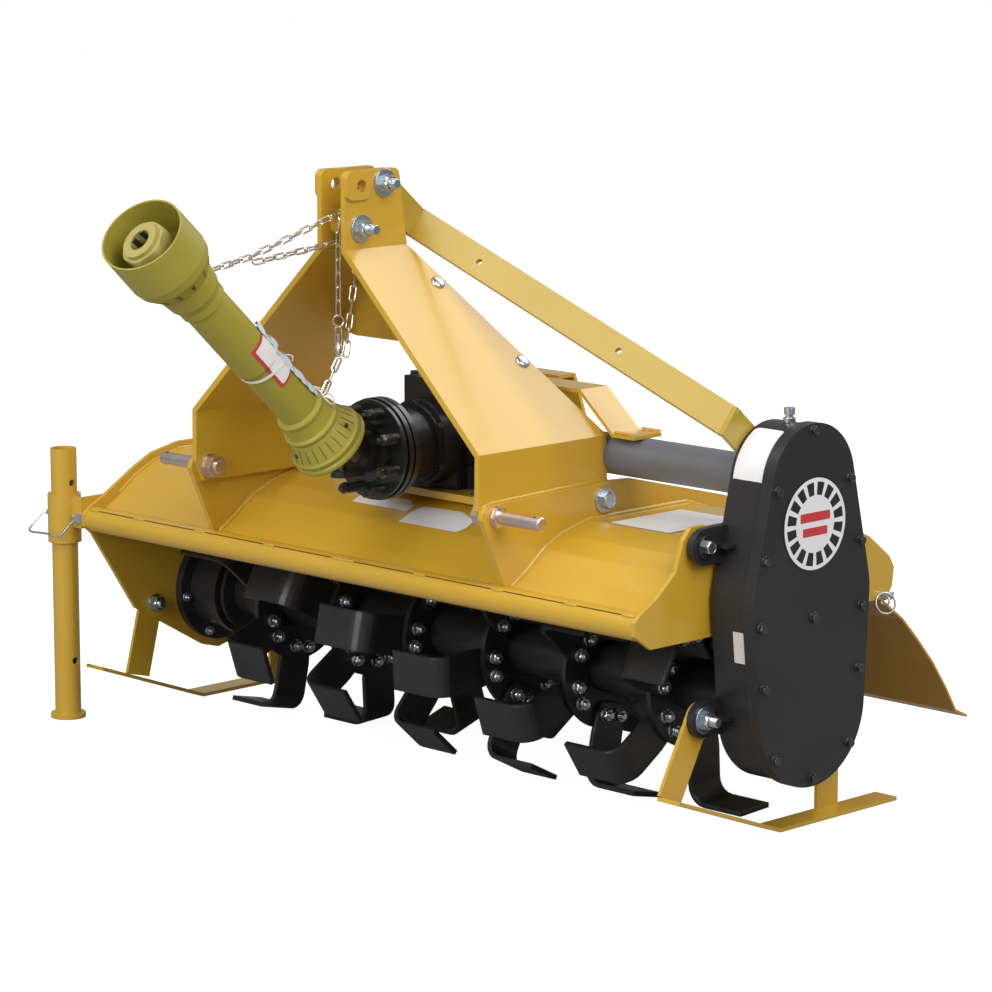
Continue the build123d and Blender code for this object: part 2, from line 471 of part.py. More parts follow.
# the bell's mouth is cut aslant, shorter on the side away from the parking stand
mouth = Pos(0, -MOUTH_MID, 0) * Rot(0, 0, MOUTH_SLANT) * Pos(0, -60, 0) * Box(200, 120, 200)
parts["guard_tractor_half"] -= drive * mouth
shaft_yoke = yoke(FAR_JOINT, FAR_JOINT - 34, 17.0, 27.0, 13.0, 27.0, 0) + rod_s(24, 418, FAR_JOINT - 36)
parts["shaft_yoke"] = drive * shaft_yoke - parts["drive_shaft"]
droop = Pos(0, -FAR_JOINT, 0) * Rot(YOKE_DROP, 0, 0) * Pos(0, FAR_JOINT, 0)
far_cross = Rot(0, 90, 0) * Cylinder(8, 54) + Rot(YOKE_DROP, 0, 0) * Cylinder(8, 54) + Rot(YOKE_DROP, 0, 0) * Box(24, 24, 24)
parts["far_cross"] = drive * (Pos(0, -FAR_JOINT, 0) * far_cross) - parts["shaft_yoke"]
hub = rod_s(31, FAR_JOINT + 34, YOKE_FACE) + yoke(FAR_JOINT, FAR_JOINT + 34, 17.0, 27.0, 13.0, 31.0, 90)
hub += rod_s(33, FAR_JOINT + 44, YOKE_FACE - 8) & Pos(0, -(FAR_JOINT + YOKE_FACE) / 2, 0) * Box(90, 90, 58)
hub = hub - rod_s(YOKE_BORE_R, FAR_JOINT + 34, YOKE_FACE + 5)
parts["tractor_yoke"] = drive * droop * hub - parts["far_cross"]

# ================================================================ parking stand
leg = rod_z(STAND_X, STAND_Y, STAND_R, FOOT_T, STAND_TOP) - rod_z(STAND_X, STAND_Y, STAND_R - STAND_WALL, FOOT_T + 4, STAND_TOP + 5)
leg += rod_z(STAND_X, STAND_Y, FOOT_R, 0, FOOT_T)
for z in (LOCK_Z + 58, LOCK_Z, LOCK_Z - 251):
    leg -= rod_x(STAND_Y, z, LOCK_R + 0.5, STAND_X - 2 * STAND_R, STAND_X + 2 * STAND_R)
parts["stand_leg"] = leg
sleeve = rod_z(STAND_X, STAND_Y, SLEEVE_R, SLEEVE_LOW, SLEEVE_HIGH)
bracket_front, bracket_back = STAND_Y - BRACKET_T / 2, STAND_Y + BRACKET_T / 2
sleeve += box(STAND_X, -SKID_IN, bracket_front, bracket_back, BRACKET_LOW, BRACKET_HIGH)
sleeve += box(-SKID_IN - BRACKET_T, -SKID_IN, bracket_front, BRACKET_REAR, BRACKET_LOW, BRACKET_HIGH)
lock_hole = rod_x(STAND_Y, LOCK_Z, LOCK_R, STAND_X - 2 * SLEEVE_R, -SKID_IN + 5)
sleeve = less(sleeve, [rod_z(STAND_X, STAND_Y, STAND_R + 0.4, SLEEVE_LOW - 5, SLEEVE_HIGH + 5), lock_hole])
parts["stand_sleeve"] = sleeve
stub_in, stub_out = STAND_R + 1, SLEEVE_R + 15.5
lock = rod_x(STAND_Y, LOCK_Z, LOCK_R, STAND_X - stub_out, STAND_X - stub_in) + rod_x(STAND_Y, LOCK_Z, LOCK_R, STAND_X + stub_in, STAND_X + stub_out)
lock += rod_x(STAND_Y, LOCK_Z, LOCK_R + 2.5, STAND_X + SLEEVE_R, STAND_X + SLEEVE_R + 6)
parts["stand_pin"] = lock - box(STAND_X + SLEEVE_R, -SKID_IN + 5, bracket_front, bracket_back, BRACKET_LOW, BRACKET_HIGH)

# ================================================================ guard chains


def link(centre, along, turn):
    """One flat eight-sided ring of chain, long way along a direction and turned about it."""
    half, width, wire = LINK_PITCH / 2 + LINK_WIRE, LINK_W / 2, LINK_WIRE
    cut = width * 0.55
    outer = [(-half, -width + cut), (-half + cut, -width), (half - cut, -width), (half, -width + cut),
             (half, width - cut), (half - cut, width), (-half + cut, width), (-half, width - cut)]
    inner = [(u - math.copysign(wire, u), v - math.copysign(wire, v) * (1.0 if abs(v) > width - 1 else 0.55)) for u, v in outer]
    ring = make_face(Polyline(*outer, close=True)) - make_face(Polyline(*inner, close=True))
    flat = extrude(ring, amount=wire / 2, both=True)
    direction = Vector(*along).normalized()
    side = direction.cross(Vector(0, 0, 1))
    side = side.normalized() if side.length > 0.01 else Vector(1, 0, 0)
    frame = Plane(origin=centre, x_dir=direction, z_dir=side)
    return frame.location * Rot(turn, 0, 0) * flat


def chain(path):
    """Links strung at one pitch along a path of points, each turned a quarter from the last."""
    path = [Vector(*p) for p in path]
    spans = [(b - a).length for a, b in zip(path, path[1:])]
    count = round(sum(spans) / LINK_PITCH)
    marks = []
    for k in range(2 * count + 1):
        rest, n = sum(spans) * k / (2 * count), 0
        while n < len(spans) - 1 and rest > spans[n]:
            rest -= spans[n]
            n += 1
        marks.append(path[n] + (path[n + 1] - path[n]) * (rest / spans[n]))
    return [link((marks[2 * k] + marks[2 * k + 2]) / 2, marks[2 * k + 2] - marks[2 * k], 45 + 90 * (k % 2)) for k in range(count)]


def on_drive(x, s, up):
    """Point beside the driveline, s from the joint, x across and up square to both."""
    t = math.radians(DRIVE_TILT)
    return (x, JOINT_Y - s * math.cos(t) + up * math.sin(t), JOINT_Z + s * math.sin(t) + up * math.cos(t))


# each chain: the paths of its strands; loops pass over the mast spacer
WRAP_R = SPACER_R + 0.73 * LINK_W          # links lie on the spacer
TIE_A, TIE_B = (-4, -188, 863.5), (0, -9, 692)
RING_Z, RING_R = 749.0, 9.0


def round_spacer(x, first, last):
    """Points round the mast spacer, every 30 degrees; 0 is rearward and 90 is up."""
    steps = round(abs(last - first) / 30)
    turns = [math.radians(first + (last - first) * k / steps) for k in range(steps + 1)]
    return [(x, SPACER_Y + WRAP_R * math.cos(a), SPACER_Z + WRAP_R * math.sin(a)) for a in turns]


loop_a = [TIE_A] + round_spacer(-11, 130, -100) + [(-4, -181, 854)]
loop_b = [(0, -9, RING_Z + RING_R)] + round_spacer(6, 180, -10) + [(8.5, -2, TIE_B[2] + 2)]
parts["chain_tractor_end"] = Compound(chain([on_drive(-4, 402, 50), TIE_A]) + chain(loop_a))
ring = Pos(0, -9, RING_Z) * Rot(0, 0, 45) * Rot(90, 0, 0) * (Cylinder(RING_R, LINK_WIRE) - Cylinder(RING_R - LINK_WIRE, LINK_WIRE + 1))
hook = Pos(0, -9, (RING_Z - RING_R + TIE_B[2]) / 2) * Box(5, 8, RING_Z - RING_R - TIE_B[2])
parts["chain_implement_end"] = Compound(chain(loop_b) + [ring, hook] + chain([(0, -9, TIE_B[2] - LINK_WIRE), on_drive(4, 97, 48)]))

# ================================================================ export
os.makedirs("parts", exist_ok=True)
shift = Pos(-ORIGIN_X, -ORIGIN_Y, 0)
for name, shape in parts.items():
    placed = shift * shape
    export_step(placed, "parts/" + name + ".step")
    b = placed.bounding_box()
    print(name, len(placed.solids()), [round(v, 1) for v in (b.min.X, b.max.X, b.min.Y, b.max.Y, b.min.Z, b.max.Z)])
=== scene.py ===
"""Looks of the rotary tiller: camera, studio, paint and plating, and the small pieces the CAD model leaves out.

Lengths in the tables are millimetres in the hitch frame (x right, y rearward of the lower hitch pins, z up);
at() turns them into metres in the shared frame.
"""
import math

import bpy
import numpy as np
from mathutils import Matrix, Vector


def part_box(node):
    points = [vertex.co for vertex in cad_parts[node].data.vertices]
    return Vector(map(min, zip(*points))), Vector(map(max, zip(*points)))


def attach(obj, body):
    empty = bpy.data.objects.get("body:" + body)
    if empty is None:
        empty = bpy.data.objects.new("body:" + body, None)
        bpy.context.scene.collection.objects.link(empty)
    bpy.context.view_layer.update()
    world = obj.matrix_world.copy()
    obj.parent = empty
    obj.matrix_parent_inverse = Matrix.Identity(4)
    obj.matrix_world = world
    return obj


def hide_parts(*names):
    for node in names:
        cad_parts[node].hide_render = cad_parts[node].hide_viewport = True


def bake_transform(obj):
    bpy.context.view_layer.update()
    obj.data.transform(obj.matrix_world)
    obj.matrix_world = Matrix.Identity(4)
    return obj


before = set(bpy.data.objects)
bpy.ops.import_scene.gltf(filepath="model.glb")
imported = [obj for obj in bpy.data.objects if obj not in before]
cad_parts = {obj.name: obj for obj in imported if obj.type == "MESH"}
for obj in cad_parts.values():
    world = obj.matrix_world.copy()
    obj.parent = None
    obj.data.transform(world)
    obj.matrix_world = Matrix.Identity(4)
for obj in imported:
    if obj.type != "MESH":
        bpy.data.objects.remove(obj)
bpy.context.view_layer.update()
rng = np.random.default_rng(7)

pin_low, pin_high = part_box("hitch_pin_right")
PIN_Y = (pin_low.y + pin_high.y) / 2            # the lower pins' axis in the shared frame
DRIVE_TILT = math.radians(43.5)
JOINT = (0.0, -8.0, 537.0)                      # implement end's universal joint, hitch frame


def at(x, y, z):
    """Hitch-frame millimetres as a point of the shared frame, in metres."""
    return np.array([x / 1000, y / 1000 + PIN_Y, z / 1000])


def along_drive(s, x=0.0, up=0.0):
    """Point s millimetres along the driveline from its joint, x across it and up square to both."""
    c, k = math.cos(DRIVE_TILT), math.sin(DRIVE_TILT)
    return at(x, JOINT[1] - s * c + up * k, JOINT[2] + s * k + up * c)


DRIVE_AXIS = np.array([0.0, -math.cos(DRIVE_TILT), math.sin(DRIVE_TILT)])

# ---------------------------------------------------------------- surfaces as arrays


def basis(axis):
    """Two unit vectors square to an axis, as rows, and the axis itself as the third."""
    w = np.asarray(axis, float) / np.linalg.norm(axis)
    ref = np.array([0, 0, 1.0]) if abs(w[2]) < 0.9 else np.array([0, 1.0, 0])
    u = np.cross(ref, w)
    u /= np.linalg.norm(u)
    return np.stack([u, np.cross(w, u), w])


def placed(points, origin, axis, spin=0.0):
    """Local millimetre points (z along the axis) turned by spin about it and set at an origin in metres."""
    c, s = math.cos(spin), math.sin(spin)
    turn = np.array([[c, s, 0], [-s, c, 0], [0, 0, 1]])
    return np.asarray(origin) + points / 1000 @ turn @ basis(axis)


def revolved(profile, n=24):
    """Surface of revolution: (r cos t, r sin t, z) for each (r, z) of the profile and n angles t."""
    profile = np.asarray(profile, float)
    t = np.linspace(0, 2 * np.pi, n, endpoint=False)
    r, z = profile[:, 0, None], profile[:, 1, None]
    return np.stack([r * np.cos(t), r * np.sin(t), z + 0 * t], axis=-1)


def hexed(profile, flats, n=36):
    """Hexagonal prism turned to a profile: radius is the smaller of the profile's and flats / (2 cos a),
    where a is the angle from the middle of the nearest flat."""
    profile = np.asarray(profile, float)
    t = np.linspace(0, 2 * np.pi, n, endpoint=False)
    a = (t + np.pi / 6) % (np.pi / 3) - np.pi / 6
    r = np.minimum(profile[:, 0, None], flats / 2 / np.cos(a))
    return np.stack([r * np.cos(t), r * np.sin(t), profile[:, 1, None] + 0 * t], axis=-1)


def threaded(d, pitch, z0, z1, n=20):
    """Screw thread: radius d/2 less a triangle wave of z / pitch - t / 2 pi, with a cone at its end."""
    z = np.linspace(z0, z1, max(8, int((z1 - z0) / pitch * 5)))
    t = np.linspace(0, 2 * np.pi, n, endpoint=False)
    wave = np.abs((z[:, None] / pitch - t / (2 * np.pi)) % 1 - 0.5) * 2
    r = d / 2 - 0.6 * pitch * wave
    r = np.minimum(r, d / 2 - 1.2 + (z1 - z)[:, None])
    body = np.stack([r * np.cos(t), r * np.sin(t), z[:, None] + 0 * t], axis=-1)
    end = revolved([(0.001, z1)], n)
    return np.concatenate([body, end])


def swept(path, radius, n=8, closed=False, wobble=None):
    """Round section carried along a path of points in metres; radius in millimetres, one value or one per point."""
    path = np.asarray(path, float)
    ahead = np.roll(path, -1, 0) - path if closed else np.gradient(path, axis=0)
    if closed:
        ahead = ahead + (path - np.roll(path, 1, 0))
    ahead /= np.linalg.norm(ahead, axis=1, keepdims=True)
    side = np.cross(ahead[0], [0.3, 0.5, 0.81])
    sides = []
    for w in ahead:
        side = side - w * (side @ w)
        side /= np.linalg.norm(side)
        sides.append(side)
    u = np.array(sides)
    v = np.cross(ahead, u)
    t = np.linspace(0, 2 * np.pi, n, endpoint=False)
    r = np.broadcast_to(np.asarray(radius, float) / 1000, len(path))[:, None]
    if wobble is not None:
        r = r * wobble
    return path[:, None] + (r * np.cos(t))[..., None] * u[:, None] + (r * np.sin(t))[..., None] * v[:, None]


def stadium(length, width, n=24):
    """Closed path of a chain link: two half circles joined by straights, by equal turns of its angle."""
    t = np.linspace(0, 2 * np.pi, n, endpoint=False)
    r = width / 2
    x = r * np.cos(t) + (length / 2 - r) * np.sign(np.cos(t))
    return np.stack([x, r * np.sin(t), 0 * t], axis=-1)


def rounded(w, h, r, n=40):
    """Outline of a w by h rectangle with corners of radius r: a small rectangle plus a turning circle."""
    t = np.linspace(0, 2 * np.pi, n, endpoint=False) + np.pi / n
    across = (w / 2 - r) * np.sign(np.cos(t)) + r * np.cos(t)
    along = (h / 2 - r) * np.sign(np.sin(t)) + r * np.sin(t)
    return np.stack([across, along], axis=-1)


class Pile:
    """Grids of points gathered into one mesh object, which build sets on one body unless it is given a blend."""

    def __init__(self, name, body, material, slot, angle=38):
        self.name, self.body, self.material, self.slot, self.angle = name, body, material, slot, angle
        self.verts, self.faces, self.count = [], [], 0

    def add(self, grid, around=True, closed=False):
        """Adds the quads of a grid (rows, columns, 3); around joins its last column to the first, closed its rows."""
        rows, cols = grid.shape[:2]
        i = np.arange(rows if closed else rows - 1)[:, None]
        j = np.arange(cols if around else cols - 1)[None]
        i2, j2 = (i + 1) % rows, (j + 1) % cols
        quads = np.stack([i * cols + j, i * cols + j2, i2 * cols + j2, i2 * cols + j], axis=-1).reshape(-1, 4)
        self.verts.append(grid.reshape(-1, 3))
        self.faces.append(quads + self.count)
        self.count += rows * cols

    def build(self, blend=None):
        """Makes the object and sets it on its body; given a blend, it only bakes the object's placement into its mesh
        and sets it on no body.
        """
        verts, faces = np.concatenate(self.verts), np.concatenate(self.faces)
        mesh = bpy.data.meshes.new(self.name)
        mesh.vertices.add(len(verts))
        mesh.vertices.foreach_set("co", verts.astype(np.float32).ravel())
        mesh.loops.add(faces.size)
        mesh.loops.foreach_set("vertex_index", faces.astype(np.int32).ravel())
        mesh.polygons.add(len(faces))
        mesh.polygons.foreach_set("loop_start", np.arange(0, faces.size, 4, dtype=np.int32))
        mesh.update(calc_edges=True)
        mesh.validate()
        mesh.shade_smooth()
        mesh.set_sharp_from_angle(angle=math.radians(self.angle))
        mesh.materials.append(self.material)
        obj = bpy.data.objects.new(self.name, mesh)
        bpy.context.scene.collection.objects.link(obj)
        if blend:
            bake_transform(obj)
        else:
            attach(obj, self.body)
        return obj


# ---------------------------------------------------------------- materials


def new_group(name, inputs, outputs):
    """Shader node group with named sockets: inputs (name, type, default), outputs (name, type)."""
    group = bpy.data.node_groups.new(name, "ShaderNodeTree")
    for label, kind, value in inputs:
        group.interface.new_socket(label, in_out="INPUT", socket_type=kind).default_value = value
    for label, kind in outputs:
        group.interface.new_socket(label, in_out="OUTPUT", socket_type=kind)
    return group, group.nodes.new("NodeGroupInput"), group.nodes.new("NodeGroupOutput")


def noise(tree, vector, scale, detail=3.0, rough=0.55):
    """Noise texture's factor at a scale per metre."""
    node = tree.nodes.new("ShaderNodeTexNoise")
    node.inputs["Scale"].default_value = scale
    node.inputs["Detail"].default_value = detail
    node.inputs["Roughness"].default_value = rough
    tree.links.new(vector, node.inputs["Vector"])
    return node.outputs["Fac"]


def remap(tree, value, low, high, to_low=0.0, to_high=1.0):
    """Value mapped from one range to another, held inside it."""
    node = tree.nodes.new("ShaderNodeMapRange")
    for label, number in (("From Min", low), ("From Max", high), ("To Min", to_low), ("To Max", to_high)):
        node.inputs[label].default_value = number
    tree.links.new(value, node.inputs["Value"])
    return node.outputs["Result"]


def mixed(tree, factor, a, b):
    """Colour between a and b by a factor; either may be a socket."""
    node = tree.nodes.new("ShaderNodeMix")
    node.data_type = "RGBA"
    tree.links.new(factor, node.inputs["Factor"])
    for label, value in (("A", a), ("B", b)):
        socket = [s for s in node.inputs if s.name == label and s.type == "RGBA"][0]
        if hasattr(value, "is_linked"):
            tree.links.new(value, socket)
        else:
            socket.default_value = value
    return [s for s in node.outputs if s.type == "RGBA"][0]


def math_node(tree, kind, a, b):
    """Maths on two values or sockets."""
    node = tree.nodes.new("ShaderNodeMath")
    node.operation = kind
    for k, value in enumerate((a, b)):
        if hasattr(value, "is_linked"):
            tree.links.new(value, node.inputs[k])
        else:
            node.inputs[k].default_value = value
    return node.outputs[0]


def surface_group():
    """Painted or plated skin: two tones by slow noise, dust low down, fine grain in roughness and height."""
    inputs = [("Vector", "NodeSocketVector", (0, 0, 0)),
              ("Tone A", "NodeSocketColor", (0.5, 0.5, 0.5, 1)),
              ("Tone B", "NodeSocketColor", (0.5, 0.5, 0.5, 1)),
              ("Dust", "NodeSocketColor", (0.4, 0.35, 0.28, 1)),
              ("Dust Amount", "NodeSocketFloat", 0.1),
              ("Roughness Low", "NodeSocketFloat", 0.2),
              ("Roughness High", "NodeSocketFloat", 0.4),
              ("Grain", "NodeSocketFloat", 700.0),
              ("Depth", "NodeSocketFloat", 0.2)]
    outputs = [("Color", "NodeSocketColor"), ("Roughness", "NodeSocketFloat"), ("Height", "NodeSocketFloat")]
    group, gin, gout = new_group("skin", inputs, outputs)
    vector = gin.outputs["Vector"]
    slow = noise(group, vector, 9.0, 4.0)
    tone = remap(group, slow, 0.35, 0.65)
    colour = mixed(group, tone, gin.outputs["Tone A"], gin.outputs["Tone B"])
    specks = remap(group, noise(group, vector, 160.0, 6.0, 0.7), 0.52, 0.72)
    cloud = remap(group, noise(group, vector, 22.0, 3.0), 0.4, 0.7)
    split = group.nodes.new("ShaderNodeSeparateXYZ")
    group.links.new(vector, split.inputs[0])
    low = remap(group, split.outputs["Z"], 0.0, 0.35, 1.0, 0.25)
    amount = math_node(group, "MULTIPLY", math_node(group, "MULTIPLY", specks, cloud), low)
    amount = math_node(group, "MULTIPLY", amount, gin.outputs["Dust Amount"])
    colour = mixed(group, amount, colour, gin.outputs["Dust"])
    group.links.new(colour, gout.inputs["Color"])
    fine = group.nodes.new("ShaderNodeTexNoise")
    fine.inputs["Detail"].default_value = 2.0
    group.links.new(gin.outputs["Grain"], fine.inputs["Scale"])
    group.links.new(vector, fine.inputs["Vector"])
    smear = noise(group, vector, 31.0, 5.0, 0.6)
    span = math_node(group, "SUBTRACT", gin.outputs["Roughness High"], gin.outputs["Roughness Low"])
    rough = math_node(group, "ADD", gin.outputs["Roughness Low"], math_node(group, "MULTIPLY", smear, span))
    rough = math_node(group, "ADD", rough, math_node(group, "MULTIPLY", amount, 0.3))
    group.links.new(rough, gout.inputs["Roughness"])
    height = math_node(group, "MULTIPLY", fine.outputs["Fac"], gin.outputs["Depth"])
    group.links.new(height, gout.inputs["Height"])
    return group


SKIN = surface_group()


def skin_material(name, tone_a, tone_b, rough, metallic=0.0, coat=0.0, coat_rough=0.1, grain=700.0, depth=0.2,
                  dust=0.1, dust_colour=(0.42, 0.36, 0.27), bevel=0.0012, specular=0.5):
    """Principled material whose colour, roughness and bump come from the skin group; rough is (low, high), grain is
    per metre and bevel the metres by which edges are shaded round."""
    material = bpy.data.materials.new(name)
    material.use_nodes = True
    tree = material.node_tree
    shader = tree.nodes["Principled BSDF"]
    coords = tree.nodes.new("ShaderNodeTexCoord")
    skin = tree.nodes.new("ShaderNodeGroup")
    skin.node_tree = SKIN
    tree.links.new(coords.outputs["Object"], skin.inputs["Vector"])
    settings = {"Tone A": (*tone_a, 1), "Tone B": (*tone_b, 1), "Dust": (*dust_colour, 1), "Dust Amount": dust,
                "Roughness Low": rough[0], "Roughness High": rough[1], "Grain": grain, "Depth": depth}
    for label, value in settings.items():
        skin.inputs[label].default_value = value
    tree.links.new(skin.outputs["Color"], shader.inputs["Base Color"])
    tree.links.new(skin.outputs["Roughness"], shader.inputs["Roughness"])
    shader.inputs["Metallic"].default_value = metallic
    shader.inputs["Coat Weight"].default_value = coat
    shader.inputs["Coat Roughness"].default_value = coat_rough
    shader.inputs["Specular IOR Level"].default_value = specular
    bump = tree.nodes.new("ShaderNodeBump")
    bump.inputs["Strength"].default_value = 0.25
    bump.inputs["Distance"].default_value = 0.0006
    tree.links.new(skin.outputs["Height"], bump.inputs["Height"])
    if bevel:
        edge = tree.nodes.new("ShaderNodeBevel")
        edge.samples = 4
        edge.inputs["Radius"].default_value = bevel
        tree.links.new(edge.outputs["Normal"], bump.inputs["Normal"])
    tree.links.new(bump.outputs["Normal"], shader.inputs["Normal"])
    return material


YELLOW_TONES = (0.62, 0.372, 0.028), (0.605, 0.360, 0.026)
SPRAYED = dict(grain=420.0, depth=0.10, dust=0.05)      # paint sprayed on steel
PRINTED = dict(grain=300.0, depth=0.05, bevel=0.0)      # printed cards

yellow = skin_material("yellow_paint", *YELLOW_TONES, (0.26, 0.38), coat=0.80, coat_rough=0.20, **SPRAYED)
sheet = skin_material("yellow_sheet", *YELLOW_TONES, (0.26, 0.38), coat=0.80, coat_rough=0.10, bevel=0.016, **SPRAYED)
# the rear board's copy of the yellow paint is more orange than the rest: painted shade, the warm bounced light of the
# board's shadowed hollow, on the same paint
board_yellow_shade = skin_material("yellow_board_painted_shade", (0.62, 0.315, 0.020), (0.60, 0.300, 0.018), (0.34, 0.46),
                             coat=0.20, coat_rough=0.25, **SPRAYED)
# the mast brace's copy of the yellow paint is darker than the rest: painted shade, which holds down the brace's
# brightness under the key light
brace_yellow_shade = skin_material("yellow_brace_painted_shade", (0.47, 0.315, 0.030), (0.455, 0.300, 0.028), (0.30, 0.42),
                             coat=0.50, coat_rough=0.20, **SPRAYED)
gap = skin_material("seam_gap", (0.10, 0.055, 0.008), (0.08, 0.045, 0.006), (0.5, 0.6), dust=0.0, bevel=0.0)
black = skin_material("black_paint", (0.017, 0.016, 0.018), (0.022, 0.021, 0.023), (0.30, 0.46), coat=0.12,
                      coat_rough=0.25, grain=520.0, depth=0.30, dust=0.20, dust_colour=(0.10, 0.09, 0.09),
                      specular=0.4)
cast = skin_material("black_casting", (0.011, 0.012, 0.012), (0.017, 0.017, 0.016), (0.22, 0.40), coat=0.6,
                     coat_rough=0.12, grain=900.0, depth=0.9, dust=0.35, dust_colour=(0.10, 0.09, 0.08))
tine_black = skin_material("tine_black", (0.013, 0.013, 0.014), (0.021, 0.020, 0.020), (0.28, 0.46), coat=0.20,
                           coat_rough=0.25, grain=300.0, depth=0.35, dust=0.35, dust_colour=(0.11, 0.10, 0.09),
                           bevel=0.007)
zinc = skin_material("clear_zinc", (0.66, 0.70, 0.74), (0.52, 0.60, 0.68), (0.18, 0.36), metallic=1.0, grain=600.0,
                     depth=0.3, dust=0.12, bevel=0.0006)
gold = skin_material("yellow_zinc", (0.84, 0.74, 0.68), (0.78, 0.64, 0.60), (0.20, 0.38), metallic=1.0, grain=500.0,
                     depth=0.3, dust=0.15, bevel=0.0006)
chain_zinc = skin_material("chain_zinc", (0.86, 0.80, 0.70), (0.74, 0.68, 0.60), (0.16, 0.32), metallic=1.0,
                           grain=600.0, depth=0.3, dust=0.10, bevel=0.0)
steel = skin_material("bare_steel", (0.30, 0.30, 0.31), (0.22, 0.21, 0.21), (0.28, 0.45), metallic=1.0, grain=500.0,
                      depth=0.4, dust=0.3)
tube_grey = skin_material("tube_grey", (0.150, 0.158, 0.182), (0.132, 0.140, 0.162), (0.34, 0.50), coat=0.15,
                          coat_rough=0.3, grain=500.0, depth=0.35, dust=0.15)
guard = skin_material("guard_plastic", (0.36, 0.31, 0.040), (0.335, 0.285, 0.036), (0.34, 0.48), grain=650.0,
                      depth=0.5, dust=0.12, specular=0.45)
olive = skin_material("olive_paint", (0.46, 0.40, 0.12), (0.40, 0.34, 0.09), (0.30, 0.50), grain=500.0, depth=0.8,
                      dust=0.4, dust_colour=(0.30, 0.20, 0.12))
# the guard's colour at about half brightness: painted shade for the slots' grooves
slot_shade = skin_material("guard_slot_painted_shade", (0.17, 0.14, 0.018), (0.15, 0.125, 0.016), (0.50, 0.60), grain=500.0,
                          depth=0.2, dust=0.0, bevel=0.0)
paper = skin_material("label_white", (0.82, 0.82, 0.83), (0.78, 0.79, 0.81), (0.28, 0.38), dust=0.05, **PRINTED)
beige = skin_material("label_beige", (0.68, 0.62, 0.59), (0.64, 0.58, 0.55), (0.35, 0.45), dust=0.1, **PRINTED)
red = skin_material("label_red", (0.60, 0.05, 0.06), (0.55, 0.04, 0.05), (0.30, 0.40), dust=0.05, **PRINTED)
ink = skin_material("label_ink", (0.012, 0.012, 0.014), (0.015, 0.015, 0.017), (0.30, 0.40), dust=0.05, **PRINTED)
film = skin_material("clear_film", (0.50, 0.64, 0.76), (0.80, 0.86, 0.90), (0.06, 0.22), coat=1.0, coat_rough=0.05,
                     grain=90.0, depth=1.2, dust=0.0, bevel=0.0)
nylon = skin_material("white_nylon", (0.78, 0.78, 0.74), (0.72, 0.72, 0.68), (0.25, 0.35), grain=300.0, depth=0.1,
                      dust=0.05, bevel=0.0)

by_node = {
    black: "gear_casing casing_cover case_spacer gearbox rotor_stub rotor_tube rotor_bearing",
    cast: "slip_clutch clutch_yoke driveline_yoke shaft_yoke",
    tine_black: "rotor_tines",
    tube_grey: "drive_tube",
    olive: "tractor_yoke",
    gold: "hitch_pin_right hitch_pin_left",
    zinc: "breather hinge_rod stand_pin chain_tractor_end chain_implement_end",
    steel: "joint_cross drive_shaft far_cross",
    guard: "guard_implement_half guard_tractor_half",
    sheet: "hood",
    board_yellow_shade: "rear_board",
    brace_yellow_shade: "mast_brace",
}
dressed = {name: material for material, names in by_node.items() for name in names.split()}
for name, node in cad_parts.items():
    node.data.materials.clear()
    node.data.materials.append(dressed.get(name, yellow))

# ---------------------------------------------------------------- fasteners


def bolt_head(pile, origin, axis, flats, height, washer=None):
    """Chamfered hexagon head at a random turn, over a washer where one is given as (outer diameter, thickness)."""
    base = 0.0
    spin = rng.uniform(0, 1.05)
    if washer:
        d, t = washer
        pile.add(placed(revolved([(d / 2, -0.3), (d / 2, t - 0.4), (d / 2 - 0.4, t), (0.01, t)], 28), origin, axis))
        base = t
    top = flats / 2
    profile = [(2 * flats, base - 0.3), (2 * flats, base + height * 0.6), (top * 1.15, base + height * 0.82),
               (top * 0.96, base + height), (top * 0.80, base + height), (top * 0.76, base + height * 0.96),
               (0.01, base + height * 0.96)]
    pile.add(placed(hexed(profile, flats), origin, axis, spin))


def nut_and_end(pile, origin, axis, d, flats, height, tail, washer=None):
    """Hexagon nut with the end of its bolt, thread d, standing out of it by about the tail."""
    bolt_head(pile, origin, axis, flats, height, washer)
    z0 = height * 0.9 + (washer[1] if washer else 0)
    pile.add(placed(threaded(d, d * 0.125, z0, z0 + tail), origin, axis, rng.uniform(0, 6)))


def dome(pile, origin, axis, d, height):
    """Carriage bolt head: a low spherical cap with a rolled edge."""
    cap = [(d / 2 * math.cos(t), height * (0.25 + 0.75 * math.sin(t))) for t in np.linspace(0, np.pi / 2, 7)[:-1]]
    pile.add(placed(revolved([(d / 2, -0.3)] + cap + [(0.01, height)], 24), origin, axis))


def eye(pile, centre, axis, r, wire, n=28):
    """Ring of round wire about an axis."""
    t = np.linspace(0, 2 * np.pi, n, endpoint=False)
    circle = np.stack([r * np.cos(t), r * np.sin(t), 0 * t], -1)
    pile.add(swept(placed(circle, centre, axis), wire / 2, 8, closed=True), closed=True)


def smooth_path(points, n=8):
    """Catmull-Rom curve through points in metres, n steps to each span."""
    p = np.asarray(points, float)
    p = np.concatenate([[2 * p[0] - p[1]], p, [2 * p[-1] - p[-2]]])
    t = np.linspace(0, 1, n, endpoint=False)[:, None]
    spans = [0.5 * (2 * b + (c - a) * t + (2 * a - 5 * b + 4 * c - d) * t ** 2 + (3 * b - a - 3 * c + d) * t ** 3)
             for a, b, c, d in zip(p, p[1:], p[2:], p[3:])]
    return np.concatenate(spans + [p[-2:-1]])


